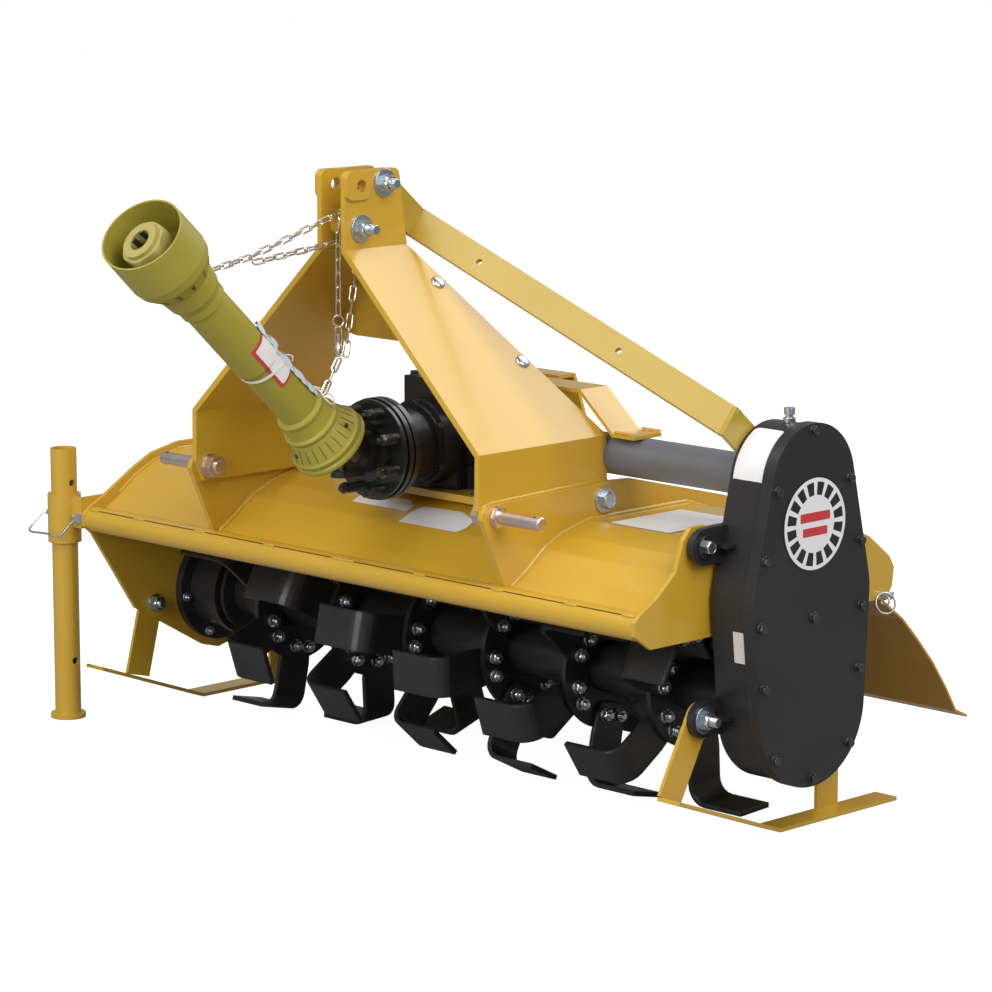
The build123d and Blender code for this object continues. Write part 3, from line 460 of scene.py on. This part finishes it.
def bead(pile, points, r):
    """Weld bead of radius r along a path: a round section that swells a little at each ripple, one every 6 mm."""
    path = []
    for a, b in zip(points, points[1:]):
        steps = max(2, round(float(np.linalg.norm(np.subtract(b, a))) / 0.006))
        path.extend(np.linspace(a, b, steps, endpoint=False))
    path = np.array(path + [points[-1]])
    wave = (1 + 0.10 * np.sin(np.arange(len(path)) * 2.1))[:, None]
    wave[[0, -1]] = 0.35
    pile.add(swept(path, r, 8, wobble=wave))


RIGHT, LEFT, FRONT, BACK, UP = (1, 0, 0), (-1, 0, 0), (0, -1, 0), (0, 1, 0), (0, 0, 1)
# outer faces and axes of the CAD model that carry these pieces
MAST_X, RIB_X, PLATE_X, COVER_X, EAR_X, SKID_X = 32.0, 341.5, 331.5, 734.0, 656.0, 646.0
HOOD_HALF, SLEEVE_PLATE_X, SLEEVE_LEFT_X, RETURN_X = 632.0, 640.0, 663.0, 221.8
BOX_Y, SHAFT_Z, ROTOR_Y, ROTOR_Z, INPUT_Z = 277.0, 543.0, 281.0, 200.0, JOINT[2]
SPACER_Y, SPACER_Z = 10.0, 895.0
MAST_BEND, PLATE_TOP = 863.0, 576.0             # the mast plates slope between these heights
LUG_Y, LUG_Z = 125.0, 459.0                     # the casing's upper front lug
# hexagons: across the flats, height; washers: outer diameter, thickness
M16_HEAD, M16_NUT, M16_THIN_NUT, M12_HEAD, M8_HEAD = (24, 11), (24, 14), (24, 13), (19, 9), (13, 6)
M16_WASHER, MAST_WASHER, M12_WASHER, M8_WASHER = (32, 3), (44, 4), (28, 3), (16, 1.5)

# mast bolts: y, z, thread past the nut
MAST_BOLTS = [(60, 963, 14), (10, 895, 20)]
plated = Pile("frame_fasteners", "frame", zinc, "zinc_plated")
for y, z, tail in MAST_BOLTS:
    nut_and_end(plated, at(MAST_X, y, z), RIGHT, 16, *M16_NUT, tail, MAST_WASHER)
for y, z, tail in MAST_BOLTS:
    bolt_head(plated, at(-MAST_X, y, z), LEFT, *M16_HEAD, MAST_WASHER)
RIB_BOLT, EAR_FRONT, EAR_REAR, SKID_BOLTS = (236, 477), (123, 196), [(435, 459), (424, 196)], [(138, 187), (436, 180)]
for side, axis in ((1, RIGHT), (-1, LEFT)):
    bolt_head(plated, at(side * RIB_X, *RIB_BOLT), axis, *M16_HEAD, (42, 4))
nut_and_end(plated, at(EAR_X, *EAR_FRONT), RIGHT, 16, *M16_THIN_NUT, 14, (42, 3.5))
bolt_head(plated, at(EAR_X + 3.4, LUG_Y, LUG_Z), RIGHT, *M12_HEAD)
for y, z in EAR_REAR:
    bolt_head(plated, at(EAR_X, y, z), RIGHT, *M16_HEAD, M16_WASHER)
for y, z in SKID_BOLTS:
    nut_and_end(plated, at(-HOOD_HALF, y, z), RIGHT, 16, *M16_THIN_NUT, 8, (30, 3))
    bolt_head(plated, at(-SKID_X, y, z), LEFT, *M16_HEAD, M16_WASHER)
slope = math.atan2(MAST_BEND - PLATE_TOP, PLATE_X - MAST_X)
normal = (math.sin(slope), 0, math.cos(slope))


def on_slope(y, z, side):
    """Point on the outer face of a sloping mast plate."""
    share = (MAST_BEND - z) / (MAST_BEND - PLATE_TOP)
    return at(side * (MAST_X + share * (PLATE_X - MAST_X)), y, z)


for y, z in ((119, 806), (182, 687)):           # carriage bolts of the mast's gusset
    for side in (1, -1):
        dome(plated, on_slope(y, z, side), (side * normal[0], 0, normal[2]), 24, 5.5)
BASE_TOP, BOX_TOP = 462, 637                    # the gearbox's base and its lid
for x in (-78, 122):
    for y in (180, 350):
        bolt_head(plated, at(x, y, BASE_TOP), UP, *M12_HEAD, M12_WASHER)
BEARING_X, BEARING_R = -618.0, 84.0             # the rotor bearing's flange and its bolt circle
for k in range(6):
    a = math.radians(7 + 60 * k)
    place = at(BEARING_X, ROTOR_Y + BEARING_R * math.cos(a), ROTOR_Z + BEARING_R * math.sin(a))
    nut_and_end(plated, place, RIGHT, 8, *M8_HEAD, 4, M8_WASHER)
plated.build()

# cover bolts round the gear casing: y, z
COVER_BOLTS = [(274, 626), (360, 544), (387, 445), (391, 343), (387, 247), (367, 133), (282, 92), (196, 134),
               (168, 247), (160, 341), (168, 441), (194, 542)]
INPUT_FLANGE, SIDE_FLANGE = (62.0, 160.0), (64.0, 118.0)        # bolt circle's radius, face of the gearbox
dark = Pile("casing_bolts", "frame", cast, "painted_black")
for y, z in COVER_BOLTS:
    bolt_head(dark, at(COVER_X, y, z), RIGHT, *M8_HEAD, (17, 1.2))
bolt_head(dark, at(COVER_X, 281, 340), RIGHT, 15, 4, (20, 1.2))         # plug in the cover's middle
lug_washer = revolved([(19, -0.3), (19, 3), (18.4, 3.5), (0.01, 3.5)], 28)
dark.add(placed(lug_washer, at(EAR_X, LUG_Y, LUG_Z), RIGHT))
for k in range(6):
    c, s = math.cos(math.radians(60 * k + 30)), math.sin(math.radians(60 * k + 30))
    r, face = INPUT_FLANGE
    bolt_head(dark, at(r * c, face, INPUT_Z + r * s), FRONT, *M8_HEAD, M8_WASHER)
    r, face = SIDE_FLANGE
    bolt_head(dark, at(face, BOX_Y + r * c, SHAFT_Z + r * s), RIGHT, *M8_HEAD, M8_WASHER)
for x, y in ((-48, 202), (48, 202), (-48, 353), (48, 353)):
    bolt_head(dark, at(x, y, BOX_TOP), UP, *M8_HEAD, M8_WASHER)
dark.build()

# ---------------------------------------------------------------- welds, under the paint
# the hood's top line: y, z
HOOD_TOP = [(62, 388), (100, 417), (140, 435), (198, 450), (425, 450), (519, 420), (545, 398)]
SEAM_Y, SEAM_Z = -3.6, 367.9                    # line on the front pipe where the hood's lip ends
SEAM_SPOTS, SPOT_HALF = (13, 175, 345, 500, 617), 13
RIB_FOOT = [(27, 366)] + HOOD_TOP                # where ribs and mast plates meet the hood
RIB_TOP = [(-24, 494), (-8, 499), (244, 506), (253, 506)]
welds = Pile("weld_beads", "frame", yellow, "painted_yellow", angle=60)
for side in (1, -1):
    for x in (RIB_X, PLATE_X):
        bead(welds, [at(side * x, y, z) for y, z in RIB_FOOT], 5.0)
    bead(welds, [at(side * PLATE_X, y, z) for y, z in RIB_TOP], 4.0)
    bead(welds, [at(side * HOOD_HALF, y, z) for y, z in HOOD_TOP], 3.0)
    bead(welds, [at(side * (MAST_X + 0.5), y, 940) for y in (-18, 24)], 2.6)        # under the pads
    for x in SEAM_SPOTS:
        bead(welds, [at(side * (x + dx), SEAM_Y, SEAM_Z) for dx in (-SPOT_HALF, SPOT_HALF)], 3.0)
    bead(welds, [at(side * RETURN_X, 365, 452), at(side * (RETURN_X - 20), 365, 494)], 3.0)
for ends in ((-215, -120), (-60, 60), (120, 215)):      # the stay's foot on the deck
    bead(welds, [at(x, 372, 451) for x in ends], 3.0)
for y in (246, 308):                                    # the strap on the drive tube
    bead(welds, [at(x, y, 583.5) for x in (352, 396)], 2.4)
SLEEVE_WELD = (336, 387)                                # heights between which the stand's sleeve is welded
bead(welds, [at(-SLEEVE_PLATE_X, 60, z) for z in SLEEVE_WELD], 2.6)
for y in (-14, -6):
    bead(welds, [at(-SLEEVE_LEFT_X, y, z) for z in SLEEVE_WELD], 2.4)
SPACER_X, SPACER_R = 21, 15.5                           # end of the spacer at the mast plate, its radius
for k in range(8):
    ends = math.radians(45 * k), math.radians(45 * (k + 1))
    ring = [at(SPACER_X, SPACER_Y + SPACER_R * math.cos(t), SPACER_Z + SPACER_R * math.sin(t)) for t in ends]
    bead(welds, ring, 2.0)
welds.build()

seam = Pile("hood_seam", "frame", gap, "painted_yellow", angle=60)
seam.add(swept([at(x, SEAM_Y, SEAM_Z) for x in np.linspace(2 - HOOD_HALF, HOOD_HALF - 2, 40)], 0.9, 6))
seam.build()

# ---------------------------------------------------------------- chains


LINK_PITCH, LINK_WIDTH, LINK_WIRE = 22.0, 12.0, 3.3


def link_grid(centre, direction, turn):
    """One oval link of round wire, its long way along a direction and turned about it."""
    path = stadium(LINK_PITCH + LINK_WIRE, LINK_WIDTH - LINK_WIRE)
    w = np.asarray(direction, float) / np.linalg.norm(direction)
    side = np.cross(w, [0, 0, 1.0])
    side = side / np.linalg.norm(side) if np.linalg.norm(side) > 0.01 else np.array([1.0, 0, 0])
    up = np.cross(side, w)
    c, s = math.cos(turn), math.sin(turn)
    line = centre + (path[:, :1] * w + path[:, 1:2] * (c * up + s * side)) / 1000
    return swept(line, LINK_WIRE / 2, 8, closed=True)


def chain(pile, path):
    """Links at one pitch along a path of points in metres, each turned a quarter from the last."""
    path = np.array(path)
    spans = np.linalg.norm(np.diff(path, axis=0), axis=1)
    length = np.concatenate([[0], np.cumsum(spans)])
    count = round(length[-1] / (LINK_PITCH / 1000))
    steps = np.linspace(0, length[-1], 2 * count + 1)
    marks = np.stack([np.interp(steps, length, path[:, k]) for k in range(3)], axis=-1)
    for k in range(count):
        a, b = marks[2 * k], marks[2 * k + 2]
        pile.add(link_grid((a + b) / 2, b - a, math.radians(45 + 90 * (k % 2))), closed=True)


WRAP_R = 23.8                                   # radius of the links' middle line round the spacer
HANG_Y = -9                                     # the near chain hangs plumb at this y
RING_Z, HOOK_MID, TIE_Z = 749.0, 717.0, 692.0   # its ring, its snap hook and the link below them
FAR_END, NEAR_END = along_drive(402, -4, 50), along_drive(97, 4, 48)


def round_spacer(x, first, last):
    """Points round the mast spacer every 30 degrees; 0 is rearward and 90 is up."""
    turns = np.radians(np.linspace(first, last, round(abs(last - first) / 30) + 1))
    return [at(x, SPACER_Y + WRAP_R * math.cos(a), SPACER_Z + WRAP_R * math.sin(a)) for a in turns]


MEET, MEET_BACK = at(-4, -188, 863.5), at(-4, -181, 854)        # where the far chain's loop hooks into itself
far_chain = Pile("chain_far", "frame", chain_zinc, "zinc_plated")
chain(far_chain, [FAR_END, MEET])
chain(far_chain, [MEET] + round_spacer(-11, 130, -100) + [MEET_BACK])
obj = far_chain.build(("frame", "driveline", at(-11, SPACER_Y, SPACER_Z), FAR_END))
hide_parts("chain_tractor_end")
near_chain = Pile("chain_near", "frame", chain_zinc, "zinc_plated")
chain(near_chain, [at(0, HANG_Y, RING_Z + 9)] + round_spacer(6, 180, -10) + [at(8.5, -2, TIE_Z + 2)])
chain(near_chain, [at(0, HANG_Y, TIE_Z - 3.5), NEAR_END])
eye(near_chain, at(0, HANG_Y, RING_Z), (1, -1, 0), 8.4, 3.4)
hook = placed(stadium(46, 11, 30)[:, [1, 0, 2]], at(0, HANG_Y, HOOK_MID), (1, -1, 0))
near_chain.add(swept(hook, 2.0, 8, closed=True), closed=True)
barrel = revolved([(0.01, -20), (4.6, -20), (4.6, -9), (3.4, -7), (3.4, 6), (4.2, 8), (4.2, 13), (0.01, 13)], 16)
near_chain.add(placed(barrel, at(0, HANG_Y, HOOK_MID), UP))
obj = near_chain.build(("frame", "driveline", at(0, HANG_Y, 740), NEAR_END))
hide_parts("chain_implement_end")

# ---------------------------------------------------------------- rotor bolts
FLANGE_X, FLANGE_GAP, FLANGES = 489.0, 181.0, 6
TINE_PIVOT, TINE_LEAN = 64.0, math.radians(12)  # radius about which a blade leans back, and its lean
BOLT_OFF, BOLT_OUT = 15, 14                     # a blade's two bolts: across it, and out from the pivot
FLANGE_FACE, BLADE_FACE = 4, 12                 # faces on either side of a flange's middle
BLADE_NUT, BLADE_HEAD = (18, 9), (18, 8)
rotor_bolts = Pile("rotor_bolts", "rotor", zinc, "zinc_plated")
for n in range(FLANGES):
    x = FLANGE_X - FLANGE_GAP * n
    for k in range(6):
        turn = math.radians(60.0 * k + 15.0 - 15.0 * n)
        faces = (FLANGE_FACE, BLADE_FACE) if k % 2 == 0 else (BLADE_FACE, FLANGE_FACE)
        for off in (-BOLT_OFF, BOLT_OFF):
            across = off * math.cos(TINE_LEAN) + BOLT_OUT * math.sin(TINE_LEAN)
            out = TINE_PIVOT - off * math.sin(TINE_LEAN) + BOLT_OUT * math.cos(TINE_LEAN)
            y = ROTOR_Y + across * math.cos(turn) - out * math.sin(turn)
            z = ROTOR_Z + across * math.sin(turn) + out * math.cos(turn)
            nut_and_end(rotor_bolts, at(x + faces[0], y, z), RIGHT, 12, *BLADE_NUT, 6, (22, 2))
            bolt_head(rotor_bolts, at(x - faces[1], y, z), LEFT, *BLADE_HEAD)
rotor_bolts.build()

# ---------------------------------------------------------------- clutch springs and bolts
clutch = Pile("clutch_springs", "frame", cast, "painted_black")
SPRING_RING, SPRING_FRONT, SPRING_BACK, CLUTCH_BACK = 66.0, 28.0, 58.0, 88
COIL_R, COIL_WIRE, COIL_TURNS = 8.0, 2.7, 6.5
for k in range(8):
    a = 2 * math.pi * (k + 0.5) / 8
    x, z = SPRING_RING * math.cos(a), INPUT_Z + SPRING_RING * math.sin(a)
    turns = np.linspace(0, 2 * np.pi * COIL_TURNS, 104)
    rise = SPRING_FRONT + 1 + turns / turns[-1] * (SPRING_BACK - SPRING_FRONT - 2)
    helix = np.stack([COIL_R * np.cos(turns), COIL_R * np.sin(turns), rise], -1)
    clutch.add(swept(placed(helix, at(x, 0, z), BACK), COIL_WIRE / 2, 7))
    nut_and_end(clutch, at(x, SPRING_FRONT, z), FRONT, 9.4, 17, 8, 7)
    bolt_head(clutch, at(x, CLUTCH_BACK, z), BACK, 17, 8.6)
clutch.build()

# ---------------------------------------------------------------- guard slots, screws, ties and film


def on_guard(s, deg, r):
    """Point on the driveline's guard: s along it, deg round it from +x, r from its axis."""
    a = math.radians(deg)
    return along_drive(s, r * math.cos(a), r * math.sin(a))


TUBE_R, OVERLAP_R = 33, 36                      # outer radius of the guard's tube below and above the overlap


def tube_radius(s):
    """Outer radius of the guard's tube, which steps up where its halves overlap."""
    return float(np.interp(s, (237, 240), (TUBE_R, OVERLAP_R)))


# the slots are thin strips laid on the guard, not cut into it; their dark colour is painted shade in the grooves
slots = Pile("guard_slots", "driveline", slot_shade, "painted_yellow", angle=60)
# rows of slots: how many, first angle, from and to along the driveline, radius there, half width
SLOT_ROWS = [(24, 0, 52, 74, 58.9, 48.8, 0.9), (13, 8, 445, 461, 51.6, 61.0, 2.6)]
for count, start, s0, s1, r0, r1, half in SLOT_ROWS:
    for k in range(count):
        mid = start + 360.0 * k / count
        grid = []
        for share, width in ((0, 0.2), (0.08, 1), (0.92, 1), (1, 0.2)):
            s, r = s0 + share * (s1 - s0), r0 + share * (r1 - r0) + 0.35
            spread = math.degrees(half * width / r)
            section = ((-spread, -0.6), (-spread, 0), (0, 0.1), (spread, 0), (spread, -0.6))
            grid.append([on_guard(s, mid + d, r + lift) for d, lift in section])
        slots.add(np.array(grid), around=False)
slots.build()
screws = Pile("guard_screws", "driveline", cast, "painted_black")
for s, first, r in ((456, -21, 56), (63, 18, 54)):      # three round each bell
    for deg in (first, first + 120, first + 240):
        out = (on_guard(s, deg, r + 1) - on_guard(s, deg, r)) * 1000
        bolt_head(screws, on_guard(s, deg, r), out, 6.5, 1.8, (8.5, 0.6))
screws.build()


def tie_band(middle, inner, outer, half):
    """Cable tie round the guard: a flat band whose middle wanders along the driveline with sines of the angle."""
    grid = []
    for deg in np.linspace(0, 360, 72):
        a = math.radians(deg)
        s = middle - 12 * math.sin(a) + 2 * math.cos(3 * a)
        section = ((-half, inner), (-half, outer), (half, outer), (half, inner))
        grid.append([on_guard(s + ds, deg, r) for ds, r in section])
    return np.array(grid)


ties = Pile("guard_ties", "driveline", nylon, "painted_yellow", angle=60)
ties.add(tie_band(221, 34.4, 35.7, 2.2))
ties.add(placed(revolved([(0.01, 0), (4, 0), (4, 6), (0.01, 6)], 4), on_guard(209, 78, 35), UP))
# loose ends: along the driveline, degrees round it, radius
TIE_TAIL = [(212, 74, 36), (206, 70, 44), (200, 66, 47), (196, 62, 42)]
TIE_CURL = [(126, 78, 41), (116, 70, 47), (100, 60, 52), (92, 50, 50), (98, 40, 47), (112, 44, 44), (120, 60, 43),
            (124, 84, 42), (118, 104, 43)]
for points, r in ((TIE_TAIL, 1.1), (TIE_CURL, 1.2)):
    ties.add(swept(smooth_path([on_guard(*p) for p in points]), r, 8))
ties.build()

# crumpled strip of film along the tube: it tapers at both ends and its height is a sum of sines
film_strip = Pile("film_strip", "driveline", film, "painted_yellow", angle=60)
FILM_TOP, FILM_LENGTH, FILM_DEG, FILM_HALF = 294, 186, 61, 15
grid = []
for share in np.linspace(0, 1, 60):
    s = FILM_TOP - FILM_LENGTH * share
    half = FILM_HALF * min(1.0, 0.35 + 6 * share, 0.25 + 5 * (1 - share))
    row = []
    for v in np.linspace(-1, 1, 9):
        deg = FILM_DEG + half * v * 1.3 + 3 * math.sin(9 * share)
        lift = 1.6 + (1 - v * v) * (4.2 + 1.6 * math.sin(31 * share + 2 * v)) + 0.7 * math.sin(57 * share + 5 * v)
        row.append(on_guard(s, deg, tube_radius(s) + 0.6 + max(lift, 0.4)))
    grid.append(row)
film_strip.add(np.array(grid), around=False)
film_strip.build()

# ---------------------------------------------------------------- splines in the tractor yoke
DROOP = math.radians(6)
far = along_drive(470)
spline_axis = np.array([0, -math.cos(DRIVE_TILT - DROOP), math.sin(DRIVE_TILT - DROOP)])
splines = Pile("yoke_splines", "driveline", steel, "bare_steel")
for k in range(6):
    a = 2 * math.pi * k / 6
    rib = np.array([[(15.2, -3.6, z), (14.6, 3.6, z), (17.6, 4.2, z), (17.6, -4.2, z)] for z in (36, 76)])
    rib = np.concatenate([rib[:1] * [1, 0.2, 1] + [1.2, 0, 0], rib, rib[-1:] * [1, 0.2, 1] + [1.2, 0, 0]])
    splines.add(placed(rib, far, spline_axis, a))
splines.build()
collar = Pile("yoke_collar", "driveline", olive, "painted_yellow")
collar.add(placed(hexed([(31, 42), (37, 42), (40, 45), (40, 66), (37, 70), (31, 70)], 72), far, spline_axis, 0.3))
collar.build()

# ---------------------------------------------------------------- stand bail, rings
wire = Pile("stand_bail", "frame", zinc, "zinc_plated")
# middle line of the bail's wire, from the pin's head round the leg to its tip: x, y, z
BAIL = [(-646, -19, 352), (-650, -26, 346), (-655, -36, 334), (-664, -44, 322), (-686, -47, 324), (-712, -46, 323),
        (-741, -43, 321), (-752, -36, 325), (-748, -24, 340), (-741, -14, 351), (-736, -10, 352)]
wire.add(swept(smooth_path([at(*p) for p in BAIL], 6), 1.9, 8))
button = revolved([(0.01, 0), (9, 0), (9.4, 1), (9.4, 5), (8.2, 7), (0.01, 7)], 24)
wire.add(placed(button, at(-648, -15, 352), (1, -0.5, 0.1)))
for side in (1, -1):
    lynch = revolved([(0.01, -11), (2.2, -11), (3.0, -9), (3.0, 9), (2.2, 11), (0.01, 11)], 16)
    wire.add(placed(lynch, at(side * 651, 560, 322), (0, -0.9, -0.35)))
    eye(wire, at(side * 660, 541, 314), (0.85 * side, -0.4, 0.3), 16.5, 3.2)
    eye(wire, at(side * 655, 546, 316), (0.3 * side, -0.9, 0.2), 7.0, 3.0)
wire.build()

# ---------------------------------------------------------------- blank labels
# rings of a card: share of its outline, height above the surface
CARD = [(1.0, 0.05), (1.0, 0.5), (0.97, 0.55), (0.8, 0.55), (0.6, 0.55), (0.4, 0.55), (0.2, 0.55), (0.001, 0.55)]


def card(name, body, surface, outline, material, lift=0.0):
    """Thin card whose outline lies in two parameters of a surface; surface(a, b, lift) gives points in metres."""
    outline = np.asarray(outline, float)
    middle = outline.mean(axis=0)
    grid = np.array([[surface(*(middle + (p - middle) * s), z + lift) for p in outline] for s, z in CARD])
    pile = Pile(name, body, material, "painted_yellow", angle=60)
    pile.add(grid)
    pile.build()


def finer(outline, n=120):
    """Closed outline walked again at n even steps of its length."""
    ring = np.concatenate([outline, outline[:1]]).astype(float)
    length = np.concatenate([[0], np.cumsum(np.linalg.norm(np.diff(ring, axis=0), axis=1))])
    marks = np.linspace(0, length[-1], n, endpoint=False)
    return np.stack([np.interp(marks, length, ring[:, k]) for k in (0, 1)], axis=-1)


def rounded_at(a0, a1, b0, b1, r):
    """Rounded outline between two values of each parameter."""
    return finer(rounded(a1 - a0, b1 - b0, r) + [(a0 + a1) / 2, (b0 + b1) / 2])


def on_hood(x, y, lift):
    """Point on the hood's sheet at x and y, lifted square to it."""
    z = np.interp(y, [p[0] for p in HOOD_TOP], [p[1] for p in HOOD_TOP])
    rise = np.interp(y + 4, [p[0] for p in HOOD_TOP], [p[1] for p in HOOD_TOP]) - z
    n = np.array([0, -rise, 4]) / math.hypot(rise, 4)
    return at(x, y + n[1] * lift, z + n[2] * lift)


def on_tube(s, arc, lift):
    """Point on the guard tube: s along the driveline and arc millimetres round it."""
    return on_guard(s, math.degrees(arc / TUBE_R), tube_radius(s) + lift)


CASE_TOP_R = 90


def on_case_top(x, arc, lift):
    """Point on the rim of the gear case, arc millimetres round its upper end from the rearward side."""
    a = arc / CASE_TOP_R
    return at(x, BOX_Y + (CASE_TOP_R + lift) * math.cos(a), SHAFT_Z + (CASE_TOP_R + lift) * math.sin(a))


def on_case_front(x, z, lift):
    """Point on the flat front of the gear case's rim, which leans forward by 0.101 for each millimetre up."""
    return at(x, 152.5 - (z - 308) * 0.101 - lift, z)


HOOD_CARD = [(20, 101), (20, 128), (32, 148), (112, 152), (158, 132), (160, 114), (150, 101)]       # x, y
HOOD_CARD_LEFT = [(-118, 128), (-118, 158), (-14, 160), (10, 144), (10, 128)]
card("deck_label", "frame", on_hood, rounded_at(387, 511, 202, 364, 3), paper, 0.8)
card("hood_label", "frame", on_hood, finer(HOOD_CARD), paper, 0.6)
card("hood_label_left", "frame", on_hood, finer(HOOD_CARD_LEFT), paper, 0.6)
card("tube_label_rim", "driveline", on_tube, rounded_at(193, 283, -12, 27, 3), red, 0.2)
card("tube_label", "driveline", on_tube, rounded_at(198, 278, -7, 25, 2), paper, 1.3)
card("case_label", "frame", on_case_top,
     rounded_at(652, 709, CASE_TOP_R * math.radians(114), CASE_TOP_R * math.radians(178), 8), paper)
card("case_front_label", "frame", on_case_front, rounded_at(688, 709, 284, 332, 2), beige)


def on_cover(y, z, lift):
    """Point on the cover's face."""
    return at(COVER_X + lift, y, z)


def circle_at(cy, cz, r, n=72):
    """Circle in the cover's plane."""
    t = np.linspace(0, 2 * np.pi, n, endpoint=False)
    return np.stack([cy + r * np.cos(t), cz + r * np.sin(t)], axis=-1)


DISC_Y, DISC_Z, DISC_R = 280.0, 484.0, 73.0
card("cover_disc_rim", "frame", on_cover, circle_at(DISC_Y, DISC_Z, DISC_R), ink)
card("cover_disc", "frame", on_cover, circle_at(DISC_Y, DISC_Z, DISC_R - 3), paper, 0.3)
ticks = Pile("disc_ticks", "frame", ink, "painted_black")
TICKS, TICK_IN, TICK_OUT, TICK_TURNS = 16, 44, 64, np.array([-0.13, -0.05, 0.05, 0.13])
for k in range(TICKS):
    turns = 2 * math.pi * (k + 0.5) / TICKS + TICK_TURNS
    wedge = [[on_cover(DISC_Y + r * math.cos(a), DISC_Z + r * math.sin(a), 0.95) for a in turns]
             for r in (TICK_IN, TICK_OUT)]
    ticks.add(np.array(wedge), around=False)
ticks.build()
for y0, y1, z0, z1, tag in ((246, 314, 488, 502, "a"), (252, 308, 466, 479, "b")):
    card("bar_" + tag, "frame", on_cover, rounded_at(y0, y1, z0, z1, 2), red, 0.6)

# ---------------------------------------------------------------- studio
scene = bpy.context.scene
scene.view_settings.view_transform = "Standard"
world = bpy.data.worlds.new("studio")
scene.world = world
world.use_nodes = True
nodes, links = world.node_tree.nodes, world.node_tree.links
background = nodes["Background"]
seen = nodes.new("ShaderNodeBackground")
seen.inputs["Color"].default_value = (1, 1, 1, 1)
seen.inputs["Strength"].default_value = 1.0
background.inputs["Color"].default_value = (1.0, 0.99, 0.97, 1)
background.inputs["Strength"].default_value = 0.31
rays, pick = nodes.new("ShaderNodeLightPath"), nodes.new("ShaderNodeMixShader")
links.new(rays.outputs["Is Camera Ray"], pick.inputs[0])
links.new(background.outputs[0], pick.inputs[1])
links.new(seen.outputs[0], pick.inputs[2])
links.new(pick.outputs[0], nodes["World Output"].inputs["Surface"])

floor_mesh = bpy.data.meshes.new("floor")
corners = [(-14, -14, -0.001), (14, -14, -0.001), (14, 14, -0.001), (-14, 14, -0.001)]
floor_mesh.from_pydata(corners, [], [(0, 1, 2, 3)])
floor = bpy.data.objects.new("floor", floor_mesh)
scene.collection.objects.link(floor)
floor_paint = bpy.data.materials.new("floor_white")
floor_paint.use_nodes = True
tree = floor_paint.node_tree
shader = tree.nodes["Principled BSDF"]
shader.inputs["Base Color"].default_value = (0.30, 0.30, 0.30, 1)
shader.inputs["Roughness"].default_value = 0.9
shader.inputs["Emission Color"].default_value = (1, 1, 1, 1)
floor_rays = tree.nodes.new("ShaderNodeLightPath")
glow = tree.nodes.new("ShaderNodeMath")
glow.operation = "MULTIPLY"
glow.inputs[1].default_value = 0.95
tree.links.new(floor_rays.outputs["Is Camera Ray"], glow.inputs[0])
tree.links.new(glow.outputs[0], shader.inputs["Emission Strength"])
floor_mesh.materials.append(floor_paint)


def softbox(name, place, target, size, power, colour=(1, 1, 1)):
    """Square area light aimed at a point."""
    data = bpy.data.lights.new(name, "AREA")
    data.shape, data.size, data.energy, data.color = "SQUARE", size, power, colour
    lamp = bpy.data.objects.new(name, data)
    lamp.location = place
    lamp.rotation_euler = (Vector(target) - Vector(place)).to_track_quat("-Z", "Y").to_euler()
    scene.collection.objects.link(lamp)


# name, place, aim, size and power in watts
softbox("key", (3.6, -0.6, 3.4), (0.1, 0, 0.4), 3.2, 134, (1.0, 0.985, 0.97))
softbox("front", (0.4, -4.4, 2.0), (0, 0, 0.4), 2.2, 96, (1.0, 0.995, 0.985))
softbox("top", (-0.9, -2.2, 4.0), (0.1, 0, 0.5), 2.6, 55)
softbox("back", (0.3, 3.5, 3.9), (0.15, 0, 0.5), 3.4, 86)

# ---------------------------------------------------------------- camera
camera_data = bpy.data.cameras.new("camera")
camera_data.sensor_width = 36.0
camera_data.lens = 142.05
camera_data.clip_end = 60
camera = bpy.data.objects.new("camera", camera_data)
azimuth, elevation, distance = math.radians(44.962), math.radians(10.027), 5.9368
level = math.cos(elevation)
back = Vector((math.sin(azimuth) * level, -math.cos(azimuth) * level, math.sin(elevation)))
target = Vector(at(337.515, 1.704, 511.548))
camera.location = target + back * distance
camera.rotation_euler = back.to_track_quat("Z", "Y").to_euler()
scene.collection.objects.link(camera)
scene.camera = camera
